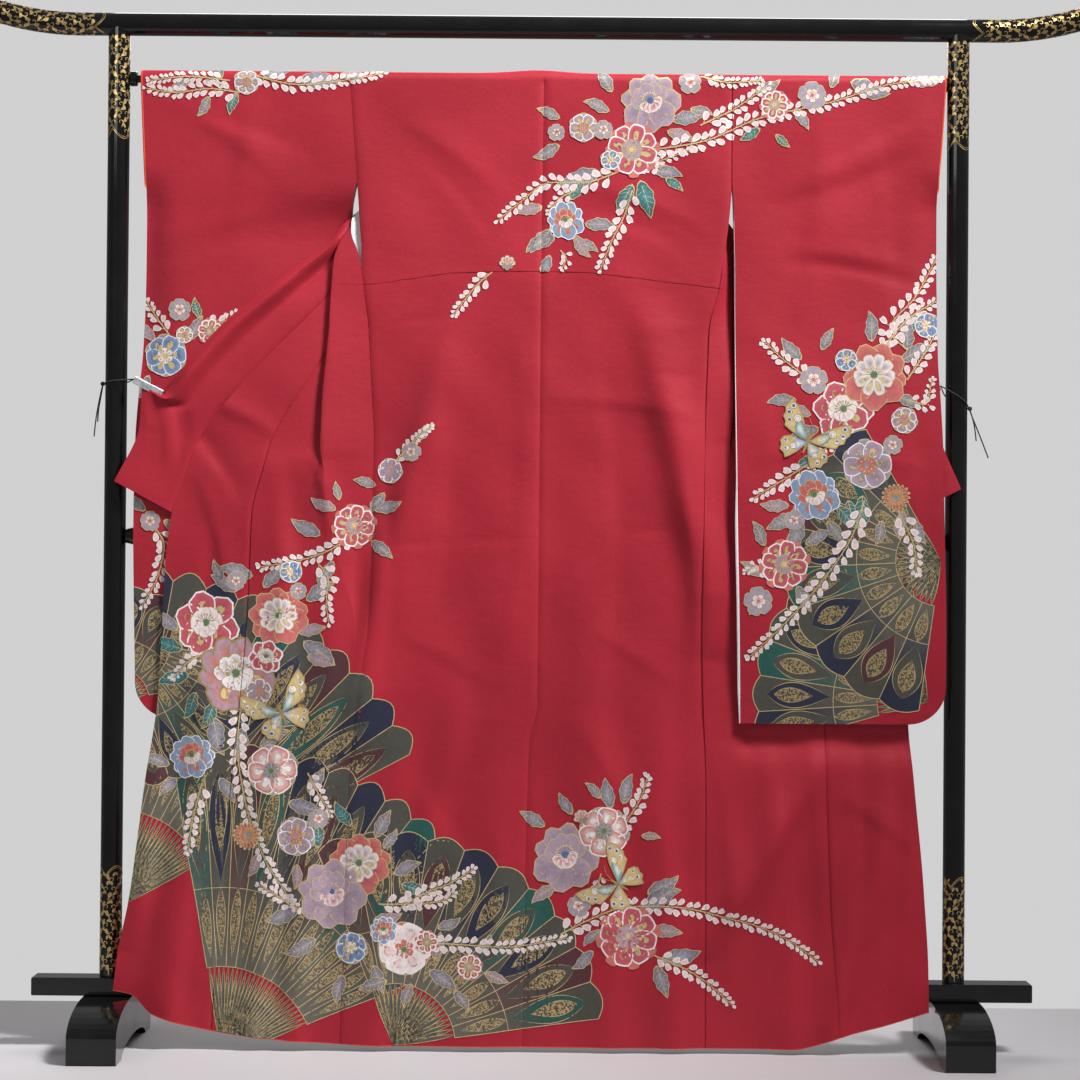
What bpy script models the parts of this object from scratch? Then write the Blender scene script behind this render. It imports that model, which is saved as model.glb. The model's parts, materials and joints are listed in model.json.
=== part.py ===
"""A long-sleeved kimono (furisode) shown from the back on a lacquered kimono stand.

+X is the viewer's right, +Y runs away from the viewer, +Z is up and the floor is Z = 0.
The origin is on the floor, midway between the posts and under the rail that carries the cloth.
Sizes in the tables are millimetres. Every panel is a grid of points on its middle surface,
worked out row by row from the tables, and gets its thickness along the grid's normals.
"""

import math

import bmesh
import bpy
import numpy as np

MM = 0.001

# Cloth
CLOTH_THICK = 1.8
SEAM_GAP = 0.3
ROD_CLEARANCE = 0.5
SLEEVE_BOTTOM = 545.0
SLEEVE_CORNER = 62.0
ARMHOLE_Z = 1443.0
CUFF_Z = 1400.0
UNDERARM_Z = 1311.0
HEM_Z = 10.0
NECK_EASE = 1.3
NECK_EASE_Z = 1450.0
HEM_LIFT_TOP = 260.0
NECK_RISE = 5.0
NECK_RISE_WIDTH = 55.0
EDGING = 3.0

# Stand
POST_X = 700.0
POST_R = 18.2
RAIL_Z = 1610.0
RAIL_R = 12.5
RAIL_NECK_R = 6.5
RAIL_NECK = 12.0
TOP_Z = 1701.0
TOP_R = 19.0
TOP_HALF = 950.0
TOP_BEND_X = 765.0
TOP_RISE = 37.0
MIDDLE_Z = 847.0
MIDDLE_R = 17.5
STRETCHER_Z = (86.3, 116.0)
STRETCHER_DEPTH = 57.0
STRETCHER_HALF = 827.0
FOOT_WIDTH = 80.0
FOOT_HALF = 200.0
FOOT_TOP = 86.0
FOOT_NOSE = 43.0
FOOT_ARCH = 22.0
FOOT_PAD = 62.0
ROUND_SIDES = 24

# Heights of the rows of the skirt, from the underarm to the hem
SKIRT_Z = (
    1311, 1285, 1259, 1230, 1200, 1150, 1100, 1050, 1006, 954,
    886, 820, 709, 600, 500, 400, 300, 200, 100, 10,
)
# Heights of the rows of the fronts between the rail and the underarm
CHEST_Z = (1604, 1598, 1590, 1580, 1540, 1500, 1470, 1443, 1425, 1405, 1390, 1375, 1358, 1341, 1325)
# Heights of the rows of the back above the underarm
YOKE_Z = (1341, 1375, 1405, 1443, 1500, 1555, 1610)
ARC_STEPS = 8
COVER_END_Z = 1311
COLLAR_END_Z = 886
OKUMI_TOP_Z = 1425

# A front crosses in three legs, with a point midway along each and three round each turn
FRONT_COLUMNS = 11
TURN_HALF = 1.9
TURN_SPREAD = 3.0
TURN_SHARE = 0.3
OKUMI_SHARES = (0, 0.3, 0.6, 0.82, 1)
COLLAR_COLUMNS = 4
SLEEVE_STATIONS = (0, 0.06, 0.18, 0.36, 0.55, 0.74, 0.88, 0.96, 1)

CENTRE_SEAM = {
    "z": (1625, 1291, 575, 508, 10),
    "x": (8.8, 6.4, 5.4, -7.4, -15),
}
# The back's free side edges and depth between the underarm and the armhole
YOKE_EDGE = {
    -1: {"z": (1443, 1405, 1375, 1341, 1311), "x": (-301.3, -298, -296, -292.5, -292)},
    1: {"z": (1443, 1400, 1341, 1311), "x": (323, 320, 312, 306)},
}
YOKE_DEPTH = {"z": (1443, 1375, 1311), "y": (-13.9, -15, -16.6)}
SHOULDER_EDGE = {-1: {"z": (1443, 1610), "x": (-301.3, -314.3)}, 1: {"z": (1443, 1610), "x": (323, 323)}}
HEM_LIFT = {
    "x": (-690, -660, -624, -468, -318, -218, 431, 514, 574, 655),
    "z": (88, 82, 50, 15, 3, 0, 0, 22, 37, 62),
}

# The fronts, a row for each height: side edge, outer fold, inner fold, overlap seam, collar seam.
# Below the collar's end the last place is the free front edge.
WING_COLUMNS = ("z", "side", "side_y", "fold", "fold_y", "tuck", "tuck_y", "seam", "seam_y", "edge", "edge_y")
WINGS = {
    -1: (
        (1610, -314.3, 13.9, -200, 13.9, -90, 13.9, 8.8, 13.9, 8.8, 13.9),
        (1604, -313.8, 13.9, -210, 13.9, -110, 13.9, -38, 14.2, -38, 14.2),
        (1598, -313.3, 13.9, -220, 13.9, -118, 13.9, -70, 14.8, -70, 14.8),
        (1590, -312.7, 13.9, -228, 13.9, -112, 14.0, -96, 15.6, -96, 15.6),
        (1580, -311.9, 13.9, -235, 13.9, -114.5, 14.0, -117, 17.4, -117, 17.4),
        (1540, -308.8, 13.9, -240, 13.9, -114, 14.0, -145, 19, -145, 19),
        (1500, -305.7, 13.9, -240, 13.9, -120, 14.0, -173, 19.5, -173, 19.5),
        (1443, -301.3, 13.9, -240, 13.9, -139, 14.0, -212, 19.5, -212, 19.5),
        (1425, -294, 9, -262, 11, -146, 13.5, -221, 18, -224, 18),
        (1405, -292, 2, -275, 4.5, -154, 12.8, -231, 15, -238, 15),
        (1390, -300, -3, -282, 0, -161, 12.5, -239, 11, -249, 11),
        (1375, -310, -9.5, -305, -7.5, -170, 12, -246, 7, -259, 7),
        (1358, -310.5, -14.2, -315, -11.2, -179, 10, -254, 4, -271, 4),
        (1341, -306, -14.5, -326, -13.5, -189, 8, -262, 1, -283, 1),
        (1311, -292, -16.6, -336, -19, -204, 4, -274, -3, -303, -3),
        (1259, -286, -17.4, -340, -22, -220, -3, -292, -8, -339.5, -10),
        (1200, -280, -18, -343, -26, -240, -6, -322, -13, -394, -17),
        (1150, -277, -18.6, -347, -29, -261, -9.5, -350, -19, -443, -22),
        (1080, -273, -19.3, -352, -32, -290, -17, -397, -24.5, -506, -26.5),
        (1006, -269, -20, -348, -32.5, -337, -25, -437.5, -27.5, -559, -27.5),
        (954, -269.5, -20.4, -326, -29, -352, -30.5, -452, -31, -579, -29.5),
        (886, -270.3, -21, -305, -28.5, -370, -31, -468, -31, -601.5, -30),
        (806, -271, -22, -295, -28.5, -380, -31, -471, -31, -611, -30),
        (700, -275.2, -23, -298, -28.5, -385, -30.5, -475, -30.5, -616, -29.5),
        (590, -291, -25, -312, -28.5, -400, -30, -484, -30.5, -621, -29.5),
        (439, -304.8, -27.4, -360, -29, -425, -31, -498, -32, -641, -31),
        (272, -309, -30.8, -370, -32, -440, -34, -510, -35, -661, -34),
        (116, -313.3, -34, -375, -35, -450, -36.5, -521, -37, -684, -37),
        (10, -316, -36, -380, -37, -455, -38, -526, -38, -690, -38),
    ),
    1: (
        (1610, 323, 13.9, 205, 13.9, 100, 13.9, 8.8, 13.9, 8.8, 13.9),
        (1604, 323, 13.9, 215, 13.9, 115, 13.9, 46, 14.2, 46, 14.2),
        (1598, 323, 13.9, 225, 13.9, 122, 13.9, 76, 14.8, 76, 14.8),
        (1590, 323, 13.9, 232, 13.9, 116, 14.0, 100, 15.6, 100, 15.6),
        (1580, 323, 13.9, 240, 13.9, 118.5, 14.0, 121, 17.4, 121, 17.4),
        (1540, 323, 13.9, 245, 13.9, 118, 14.0, 149, 19, 149, 19),
        (1500, 323, 13.9, 250, 13.9, 124, 14.0, 177, 19.5, 177, 19.5),
        (1443, 323, 13.9, 262, 13.9, 143, 14.0, 216, 20, 216, 20),
        (1425, 321, 13, 275, 14, 150, 14.5, 225, 20.5, 228, 20.5),
        (1405, 317, 11, 290, 13, 159, 15, 235, 21, 242, 21),
        (1390, 315, 8, 305, 11.5, 166, 15.5, 243, 21, 253, 21),
        (1375, 314, 4, 317, 9.5, 174, 16, 250, 21, 263, 21),
        (1341, 310, -6, 321, 7.5, 190, 16, 266, 20, 287, 20),
        (1311, 306, -16.6, 322, 5, 205, 14, 276, 18, 307, 18),
        (1259, 296, -17.4, 322, 2, 220, 10, 294, 13.5, 343, 13.5),
        (1200, 287, -18, 323, -3, 240, 4, 326, 6, 398, 6),
        (1150, 285, -18.6, 324, -8.5, 262, -3, 352, -3, 447, -3),
        (1080, 282.7, -19.3, 326, -17, 294, -10, 399, -12.5, 508, -12),
        (1006, 281, -20, 322, -20.5, 324, -16.5, 439, -19, 562, -17),
        (954, 280, -20.4, 322, -21, 350, -21, 456, -22, 583, -22),
        (886, 279.6, -21, 322, -21.5, 386, -22, 471, -22.5, 608, -22.5),
        (806, 279, -22, 325, -22, 398, -22.5, 476, -23, 611, -23),
        (700, 278.2, -23, 330, -23, 403, -23.5, 478, -24, 614, -23.5),
        (590, 280.5, -25, 336, -25, 408, -25, 479.5, -25.5, 617, -25),
        (439, 286.4, -27.4, 345, -28, 415, -28, 484, -28, 630, -28),
        (272, 287.2, -30.8, 352, -31, 420, -31, 490, -31.5, 646, -31.5),
        (116, 287.8, -34, 358, -34.5, 428, -34.5, 500, -35, 654, -35),
        (10, 288, -36, 360, -36.5, 432, -36.5, 507, -37, 655, -37),
    ),
}

# The collar's free edge, against the height at which its sewn edge lies
COLLAR_COLUMNS_NAMED = ("seam_z", "x", "y", "z")
COLLARS = {
    -1: (
        (1610, 8.8, 17, 1556),
        (1604, -45, 24, 1551),
        (1598, -88, 40, 1556),
        (1590, -118, 50, 1572),
        (1580, -140, 48, 1592),
        (1540, -178, 34, 1572),
        (1500, -211, 27, 1531),
        (1443, -255, 21, 1472),
        (1405, -281, 17, 1432),
        (1375, -300, 8, 1402),
        (1341, -322, -1, 1370),
        (1300, -350, -5, 1336),
        (1259, -400, -11, 1298),
        (1200, -460, -18, 1250),
        (1150, -515, -22, 1204),
        (1080, -588, -26.7, 1122),
        (1050, -621, -27, 1079),
        (1006, -651, -27, 1098),
        (954, -657, -28, 1027),
        (886, -697, -30, 937),
    ),
    1: (
        (1610, 8.8, 17, 1556),
        (1604, 53, 24, 1551),
        (1598, 96, 40, 1556),
        (1590, 126, 50, 1572),
        (1580, 148, 48, 1592),
        (1540, 184, 34, 1572),
        (1500, 216, 28, 1531),
        (1443, 260, 25, 1472),
        (1405, 285, 24, 1432),
        (1375, 304, 23, 1402),
        (1341, 326, 21, 1370),
        (1300, 354, 19, 1336),
        (1259, 404, 15, 1298),
        (1200, 464, 9, 1250),
        (1150, 519, 3, 1204),
        (1080, 592, -13, 1122),
        (1050, 625, -14.2, 1079),
        (1006, 655, -14.4, 1098),
        (954, 668, -19.5, 1027),
        (886, 705, -23, 935),
    ),
}

# The sleeves, a row for each height: both edges, and the depth of the back and front layers at them
SLEEVE_COLUMNS = ("z", "inner", "outer", "back_in", "back_out", "front_in", "front_out")
SLEEVES = {
    -1: (
        (1610, -314.3, -660, -13.9, -13.9, 13.9, 13.9),
        (1500, -305.7, -655, -13.9, -13.9, 13.9, 13.9),
        (1443, -301.3, -652.5, -13.9, -13.9, 13.9, 13.5),
        (1425, -304.5, -652, -3, -13.8, 14, 13),
        (1405, -308, -651.5, 8, -13.6, 14.3, 12),
        (1390, -309, -651, 9.5, -13.4, 14.6, 11.5),
        (1341, -308, -651, 8, -13, 14, 10),
        (1300, -306, -651, 5.5, -13, 13, 9),
        (1225, -305, -652, 3, -13.4, 11, 6.5),
        (1150, -304, -655, -1, -14.5, 7, 3),
        (1080, -303, -661, -10, -17, -2, -4),
        (1006, -302, -665, -17, -20, -12, -12),
        (870, -301, -666, -22.4, -24.5, -20, -20.2),
        (700, -300, -663, -22.6, -24.5, -20, -20.2),
        (607, -300, -661, -22.6, -24, -20, -20.2),
        (545, -300, -661, -22.5, -23.4, -20, -20.2),
    ),
    1: (
        (1610, 323, 676, -13.9, -13.9, 13.9, 13.9),
        (1500, 323, 669, -13.9, -13.9, 13.9, 13.9),
        (1443, 323, 665, -13.9, -13.9, 13.9, 13.5),
        (1425, 324.5, 665, -13.7, -13.9, 13.2, 13),
        (1405, 325.5, 664.5, -13.4, -13.9, 12.4, 12.4),
        (1390, 326, 664.5, -13.3, -14, 12, 12),
        (1341, 327.5, 664.5, -13.2, -14.4, 10.5, 10.5),
        (1300, 328.5, 664.6, -13.3, -15, 9, 8.8),
        (1225, 329, 665, -16, -18, 0, -3),
        (1150, 330, 666, -21, -24, -11, -15),
        (1080, 331, 670, -27.5, -29, -20, -23),
        (1006, 332.5, 674, -31, -32, -25, -26.5),
        (870, 335, 677, -33, -33.5, -28.5, -28.5),
        (700, 339, 681, -33, -33.5, -28.5, -28.5),
        (607, 340.5, 681, -32.6, -33, -28.8, -28.8),
        (545, 341, 681, -32, -32.2, -29, -29),
    ),
}
SLEEVE_Z = (545, 549, 560, 580, 607, 700, 870, 1006, 1080, 1150, 1225, 1300, 1341, 1390, 1425, 1443, 1500, 1555, 1610)

# Large soft folds of the skirt: a line from its top to its bottom, how far it stands out and its half width
FOLD_COLUMNS = ("x_top", "z_top", "x_low", "z_low", "out", "half_width")
FOLDS = (
    (-215, 1180, -250, 60, 5.0, 34),
    (-95, 900, -130, 30, 4.0, 40),
    (60, 1000, 75, 30, 3.5, 45),
    (170, 1150, 185, 60, 5.0, 36),
    (245, 700, 235, 30, 4.0, 28),
    (-335, 640, -352, 40, 5.5, 26),
    (-420, 820, -440, 60, 4.5, 34),
    (-560, 560, -600, 110, 5.0, 34),
    (350, 520, 372, 50, 5.0, 30),
    (560, 500, 590, 90, 4.5, 34),
)

CLIPS = {
    -1: {"x": -643, "z": 1094, "y": -27.0, "tilt": -27.0},
    1: {"x": 647, "z": 1094, "y": -14.4, "tilt": 27.0},
}
CLIP_LENGTH = 52.0
CLIP_HEIGHT = 13.0
CLIP_WALL = 2.6
CLIP_SLOT = 4.0
CORD_R = 1.1
KNOT_R = 4.0
KNOT_SHARE = 11.0
KNOT_Z = {-1: 1100.0, 1: 1070.0}
TAILS = {
    -1: (((-723, -2, 1095.9), (-728, -4, 1070), (-733, -3, 1040), (-736, -2, 1012)),
         ((-723, 1.8, 1095.9), (-727, 5, 1075), (-730, 4, 1055), (-731, 3, 1037))),
    1: (((723, -2, 1065.9), (728, -4, 1048), (731, -3, 1032), (733, -2, 1016)),
        ((723, 1.8, 1065.9), (734, 5, 1040), (745, 4, 1012), (754, 3, 988))),
}

COLOURS = {
    "cloth": ((0.42, 0.022, 0.045), 0.62, 0.0),
    "edging": ((0.72, 0.075, 0.03), 0.55, 0.0),
    "lining": ((0.82, 0.80, 0.80), 0.6, 0.0),
    "lacquer": ((0.008, 0.008, 0.009), 0.22, 0.0),
    "clip": ((0.80, 0.82, 0.84), 0.35, 0.2),
    "cord": ((0.012, 0.012, 0.013), 0.7, 0.0),
}


def clear_scene():
    for thing in list(bpy.data.objects):
        bpy.data.objects.remove(thing, do_unlink=True)


def material(name):
    """The Principled material of this name, made once from COLOURS."""
    made = bpy.data.materials.get(name)
    if made:
        return made
    colour, roughness, metallic = COLOURS[name]
    made = bpy.data.materials.new(name)
    made.use_nodes = True
    shader = made.node_tree.nodes["Principled BSDF"]
    shader.inputs["Base Color"].default_value = (*colour, 1)
    shader.inputs["Roughness"].default_value = roughness
    shader.inputs["Metallic"].default_value = metallic
    return made


def add_object(name, shape, finish, smooth_angle=40):
    """Makes an object from a bmesh in millimetres, its faces turned outward."""
    bmesh.ops.recalc_face_normals(shape, faces=shape.faces)
    bmesh.ops.scale(shape, vec=(MM, MM, MM), verts=shape.verts)
    mesh = bpy.data.meshes.new(name)
    shape.to_mesh(mesh)
    shape.free()
    mesh.shade_smooth()
    mesh.set_sharp_from_angle(angle=math.radians(smooth_angle))
    mesh.materials.append(material(finish))
    made = bpy.data.objects.new(name, mesh)
    bpy.context.collection.objects.link(made)
    return made


def column(rows, names, wanted):
    return np.array([row[names.index(wanted)] for row in rows], float)


def curve(xs, ys, at):
    """A smooth curve through the points that keeps their rises and falls (monotone cubic)."""
    xs, ys, at = (np.asarray(v, float) for v in (xs, ys, at))
    order = np.argsort(xs)
    xs, ys = xs[order], ys[order]
    steps = np.diff(xs)
    slopes = np.diff(ys) / steps
    tangents = np.zeros(len(xs))
    same = slopes[1:] * slopes[:-1] > 0
    left = 2 * steps[1:] + steps[:-1]
    right = steps[1:] + 2 * steps[:-1]
    safe = np.where(same, slopes[:-1], 1), np.where(same, slopes[1:], 1)
    tangents[1:-1] = np.where(same, (left + right) / (left / safe[0] + right / safe[1]), 0)
    tangents[0], tangents[-1] = slopes[0], slopes[-1]
    at = np.clip(at, xs[0], xs[-1])
    cell = np.clip(np.searchsorted(xs, at) - 1, 0, len(steps) - 1)
    t = (at - xs[cell]) / steps[cell]
    rise = steps[cell] * (
        tangents[cell] * (t - 2 * t**2 + t**3) + tangents[cell + 1] * (t**3 - t**2)
    )
    return ys[cell] * (1 - 3 * t**2 + 2 * t**3) + ys[cell + 1] * (3 * t**2 - 2 * t**3) + rise


def table(rows, names, wanted, z):
    return curve(column(rows, names, names[0]), column(rows, names, wanted), z)


def fold_out(x, z):
    """How far the large folds stand out at a place: each is a soft ridge along its line, fading to its ends."""
    out = np.zeros(np.broadcast(x, z).shape)
    for x_top, z_top, x_low, z_low, height, half in FOLDS:
        along = np.clip((z_top - z) / (z_top - z_low), 0, 1)
        across = (x - (x_top + (x_low - x_top) * along)) / half
        out = out + height * np.exp(-(across**2)) * along**0.7
    return out


def hang(points):
    """Gives skirt points their folds and their share of the hem's rise towards the corners."""
    x, y, z = points[..., 0], points[..., 1], points[..., 2]
    share = np.clip((HEM_LIFT_TOP - z) / (HEM_LIFT_TOP - HEM_Z), 0, 1) ** 1.5
    lifted = z + share * curve(HEM_LIFT["x"], HEM_LIFT["z"], x)
    return np.stack([x, y - fold_out(x, z), lifted], axis=-1)


def shoulder_edge(side, z):
    """The straight seam of body and sleeve, from the armhole to the shoulder."""
    return np.interp(z, SHOULDER_EDGE[side]["z"], SHOULDER_EDGE[side]["x"])


def turn_points(start, corner, end):
    """Three points round a turn of the cloth, seen from above: before it, at its tip and after it.

    Where the cloth turns back on itself, its two legs are set apart far enough for its wall to pass.
    """
    first, second = corner - start, end - corner
    lengths = np.linalg.norm(first), np.linalg.norm(second)
    first, second = first / lengths[0], second / lengths[1]
    back = min(max(-first @ second, 0), 1)
    lift = TURN_HALF * back
    spread = (1 - back) * min(TURN_SPREAD, TURN_SHARE * min(lengths))
    apart = np.array((0, lift))
    return corner - first * spread - apart, corner + first * lift, corner + second * spread + apart


def wing_rows(side, heights):
    """Points across a front at each height: out to its fold, back to its tuck and out to the overlap seam."""
    rows = []
    for z in heights:
        at = {name: float(table(WINGS[side], WING_COLUMNS, name, z)) for name in WING_COLUMNS[1:]}
        if z >= ARMHOLE_Z:
            at["side"] = float(shoulder_edge(side, z))
        edge, fold, tuck, seam = (np.array((at[name], at[name + "_y"])) for name in ("side", "fold", "tuck", "seam"))
        out = turn_points(edge, fold, tuck)
        back = turn_points(fold, tuck, seam)
        row = [edge, (edge + out[0]) / 2, *out, (out[2] + back[0]) / 2, *back, (back[2] + seam) / 2, seam]
        rows.append([(x, y, z) for x, y in row])
    return hang(np.array(rows))


def overlap_rows(side, heights, shares):
    """Points from the overlap seam to the collar seam or the free front edge."""
    share = np.array(shares)
    z = np.array(heights, float)[:, None]
    ends = [table(WINGS[side], WING_COLUMNS, name, z) for name in ("seam", "seam_y", "edge", "edge_y")]
    x = ends[0] + (ends[2] - ends[0]) * share
    y = ends[1] + (ends[3] - ends[1]) * share
    return hang(np.stack([x, y, z + 0 * x], axis=-1))


def collar_rows(side, heights, columns):
    """Points from the collar's sewn edge to its free edge, which curls a little."""
    share = np.linspace(0, 1, columns)[:, None]
    rows = []
    for z in heights:
        sewn = overlap_rows(side, [z], (0, 1))[0, 1]
        free = np.array([float(table(COLLARS[side], COLLAR_COLUMNS_NAMED, name, z)) for name in "xyz"])
        if z > NECK_EASE_Z:
            sewn = sewn + NECK_EASE * (free - sewn) / np.linalg.norm(free - sewn)
        rows.append(sewn + (free - sewn) * share)
    return np.array(rows)


def back_rows(side, heights, columns):
    share = np.linspace(0, 1, columns)
    z = np.array(heights, float)[:, None]
    yoke = curve(YOKE_EDGE[side]["z"], YOKE_EDGE[side]["x"], z)
    edge = np.where(z > UNDERARM_Z, yoke, table(WINGS[side], WING_COLUMNS, "side", z))
    edge = np.where(z >= ARMHOLE_Z, shoulder_edge(side, z), edge)
    centre = curve(CENTRE_SEAM["z"], CENTRE_SEAM["x"], z)
    x = edge + (centre - edge) * share
    depth = curve(YOKE_DEPTH["z"], YOKE_DEPTH["y"], z)
    y = np.where(z > UNDERARM_Z, depth, table(WINGS[side], WING_COLUMNS, "side_y", z)) + 0 * x
    return hang(np.stack([x, y, z + 0 * x], axis=-1))


def over_rail(x, steps, neck):
    """Rows over the rail, from the viewer's side to the far side, without the first. The neck rises a little."""
    radius = RAIL_R + ROD_CLEARANCE + CLOTH_THICK / 2
    rows = []
    for step in range(1, steps + 1):
        angle = math.pi * step / steps
        rise = NECK_RISE * np.exp(-((x / NECK_RISE_WIDTH) ** 2)) * math.sin(angle) * neck
        y = np.full_like(x, -radius * math.cos(angle))
        rows.append(np.stack([x, y, RAIL_Z + radius * math.sin(angle) + rise], axis=-1))
    return np.array(rows)


def body_grid(side):
    """One body length, from the back hem over the rail to the front hem, its side edge first in each row."""
    back = back_rows(side, tuple(reversed(SKIRT_Z)) + YOKE_Z, FRONT_COLUMNS)
    arc = over_rail(back[-1, :, 0], ARC_STEPS, 1)
    front = wing_rows(side, CHEST_Z + SKIRT_Z)
    return np.concatenate([back, arc, front])


def sleeve_grid(side):
    """One sleeve, from the back of its bottom edge over the rail to the front of it, inner edge first in each row."""
    share = np.array(SLEEVE_STATIONS)
    layers = []
    for layer, sign in (("back", -1), ("front", 1)):
        rows = []
        for z in SLEEVE_Z:
            at = {name: float(table(SLEEVES[side], SLEEVE_COLUMNS, name, z)) for name in SLEEVE_COLUMNS[1:]}
            below = max(SLEEVE_BOTTOM + SLEEVE_CORNER - z, 0)
            outer = at["outer"] - side * (SLEEVE_CORNER - math.sqrt(SLEEVE_CORNER**2 - below**2))
            inner = shoulder_edge(side, z) if z >= ARMHOLE_Z else at["inner"]
            x = inner + (outer - inner) * share
            middle = {end: (at["back" + end] + at["front" + end]) / 2 for end in ("_in", "_out")}
            half = {end: (at["front" + end] - at["back" + end]) / 2 for end in ("_in", "_out")}
            centre = middle["_in"] + (middle["_out"] - middle["_in"]) * share
            apart = half["_in"] + (half["_out"] - half["_in"]) * share
            sewn = (CLOTH_THICK + SEAM_GAP) / 2
            if z < CUFF_Z:
                from_edge = np.abs(outer - x)
                full = 1 - np.exp(-((from_edge / 30) ** 2))
                apart = sewn + (apart - sewn) * full
            apart = sewn + (apart - sewn) * (1 - math.exp(-(((z - SLEEVE_BOTTOM) / 40) ** 2)))
            rows.append(np.stack([x, centre + sign * apart, np.full_like(x, z)], axis=-1))
        layers.append(np.array(rows))
    arc = over_rail(layers[0][-1, :, 0], ARC_STEPS, 0)
    return np.concatenate([layers[0], arc, layers[1][::-1][1:]])


def normals_of(grid):
    """Unit normals of a grid, from its directions along the rows and the columns."""
    normals = np.cross(np.gradient(grid, axis=0), np.gradient(grid, axis=1))
    return normals / np.linalg.norm(normals, axis=-1, keepdims=True)


def share_normals(first, second):
    """Gives two edges that are sewn together the same normals, in place."""
    both = first + second
    both /= np.linalg.norm(both, axis=-1, keepdims=True)
    first[:] = both
    second[:] = both


def trim(grid, edges):
    """Pulls the named edges in by half a seam gap: 'start' and 'end' of each row, 'top' and 'bottom' rows."""
    grid = grid.copy()
    cuts = {
        "start": ((slice(None), 0), (slice(None), 1)),
        "end": ((slice(None), -1), (slice(None), -2)),
        "top": (0, 1),
        "bottom": (-1, -2),
    }
    for edge in edges:
        outer, inner = cuts[edge]
        away = grid[inner] - grid[outer]
        grid[outer] += SEAM_GAP / 2 * away / np.linalg.norm(away, axis=-1, keepdims=True)
    return grid


def cloth_solid(name, grid, normals, finish="cloth", thick=CLOTH_THICK):
    """A closed wall of even thickness on both sides of the grid."""
    rows, columns = grid.shape[:2]
    shape = bmesh.new()
    faces = [grid + normals * thick / 2, grid - normals * thick / 2]
    verts = [[[shape.verts.new(p) for p in row] for row in face] for face in faces]
    for r in range(rows - 1):
        for c in range(columns - 1):
            for face in verts:
                shape.faces.new((face[r][c], face[r + 1][c], face[r + 1][c + 1], face[r][c + 1]))
    rim = [(r, 0) for r in range(rows)] + [(rows - 1, c) for c in range(1, columns)]
    rim += [(r, columns - 1) for r in range(rows - 2, -1, -1)] + [(0, c) for c in range(columns - 2, 0, -1)]
    front, back = verts
    for (r, c), (s, d) in zip(rim, rim[1:] + rim[:1]):
        shape.faces.new((front[r][c], front[s][d], back[s][d], back[r][c]))
    return add_object(name, shape, finish)


def edging_strip(name, edge, inward, finish):
    """A narrow strip beyond an edge: the edge's points moved out past the seam gap and by the strip's width."""
    out = -inward / np.linalg.norm(inward, axis=-1, keepdims=True)
    grid = np.stack([edge + out * SEAM_GAP, edge + out * (SEAM_GAP + EDGING / 2), edge + out * (SEAM_GAP + EDGING)], 1)
    return cloth_solid(name, grid, normals_of(grid), finish)


def garment_half(side, word):
    """The body, overlap panel, collar, sleeve and edgings of one side."""
    body = body_grid(side)
    skirt = len(SKIRT_Z)
    overlap_z = [z for z in CHEST_Z if z <= OKUMI_TOP_Z] + list(SKIRT_Z)
    overlap = overlap_rows(side, overlap_z, OKUMI_SHARES)
    collar_z = [1610] + [z for z in CHEST_Z + SKIRT_Z if z >= COLLAR_END_Z]
    collar = collar_rows(side, collar_z, COLLAR_COLUMNS)
    body_n, overlap_n, collar_n = normals_of(body), normals_of(overlap), normals_of(collar)

    share_normals(body_n[:skirt, 0], body_n[-skirt:, 0][::-1])
    share_normals(body_n[-len(overlap_z):, -1], overlap_n[:, 0])
    first_front = len(body) - len(CHEST_Z) - skirt - 1
    neck_rows = len([z for z in collar_z if z > OKUMI_TOP_Z])
    share_normals(body_n[first_front:first_front + neck_rows, -1], collar_n[:neck_rows, 0])
    share_normals(overlap_n[:len(collar_z) - neck_rows, -1], collar_n[neck_rows:, 0])

    body = trim(body, ("start", "end"))
    overlap = trim(overlap, ("start",))
    with_collar = len(collar_z) - neck_rows
    sewn = trim(overlap, ("end",))
    overlap[:with_collar] = sewn[:with_collar]
    collar = trim(collar, ("start", "top"))
    cut = collar_z.index(COVER_END_Z) + 1
    cloth_solid("body_" + word, body, body_n)
    cloth_solid("okumi_" + word, overlap, overlap_n)
    cloth_solid("collar_cover_" + word, trim(collar[:cut], ("bottom",)), collar_n[:cut])
    cloth_solid("collar_" + word, trim(collar[cut - 1:], ("top",)), collar_n[cut - 1:])

    sleeve = sleeve_grid(side)
    cloth_solid("sleeve_" + word, trim(sleeve, ("start",)), normals_of(sleeve))

    hem_in = np.concatenate([body[1, ::-1] - body[0, ::-1], body[-2] - body[-1], (overlap[-2] - overlap[-1])[1:]])
    hem = np.concatenate([body[0, ::-1], body[-1], overlap[-1][1:]])
    edging_strip("hem_edging_" + word, hem, hem_in, "edging")

    layer = len(SLEEVE_Z)
    cuff = [r for r in range(len(sleeve)) if sleeve[r, 0, 2] > CUFF_Z]
    edging_strip("cuff_edging_" + word, sleeve[cuff, -1], sleeve[cuff, -2] - sleeve[cuff, -1], "edging")
    below = [r for r in range(layer) if sleeve[r, 0, 2] < ARMHOLE_Z - 40]
    edging_strip("sleeve_lining_" + word, sleeve[below, 0], sleeve[below, 1] - sleeve[below, 0], "lining")


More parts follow.
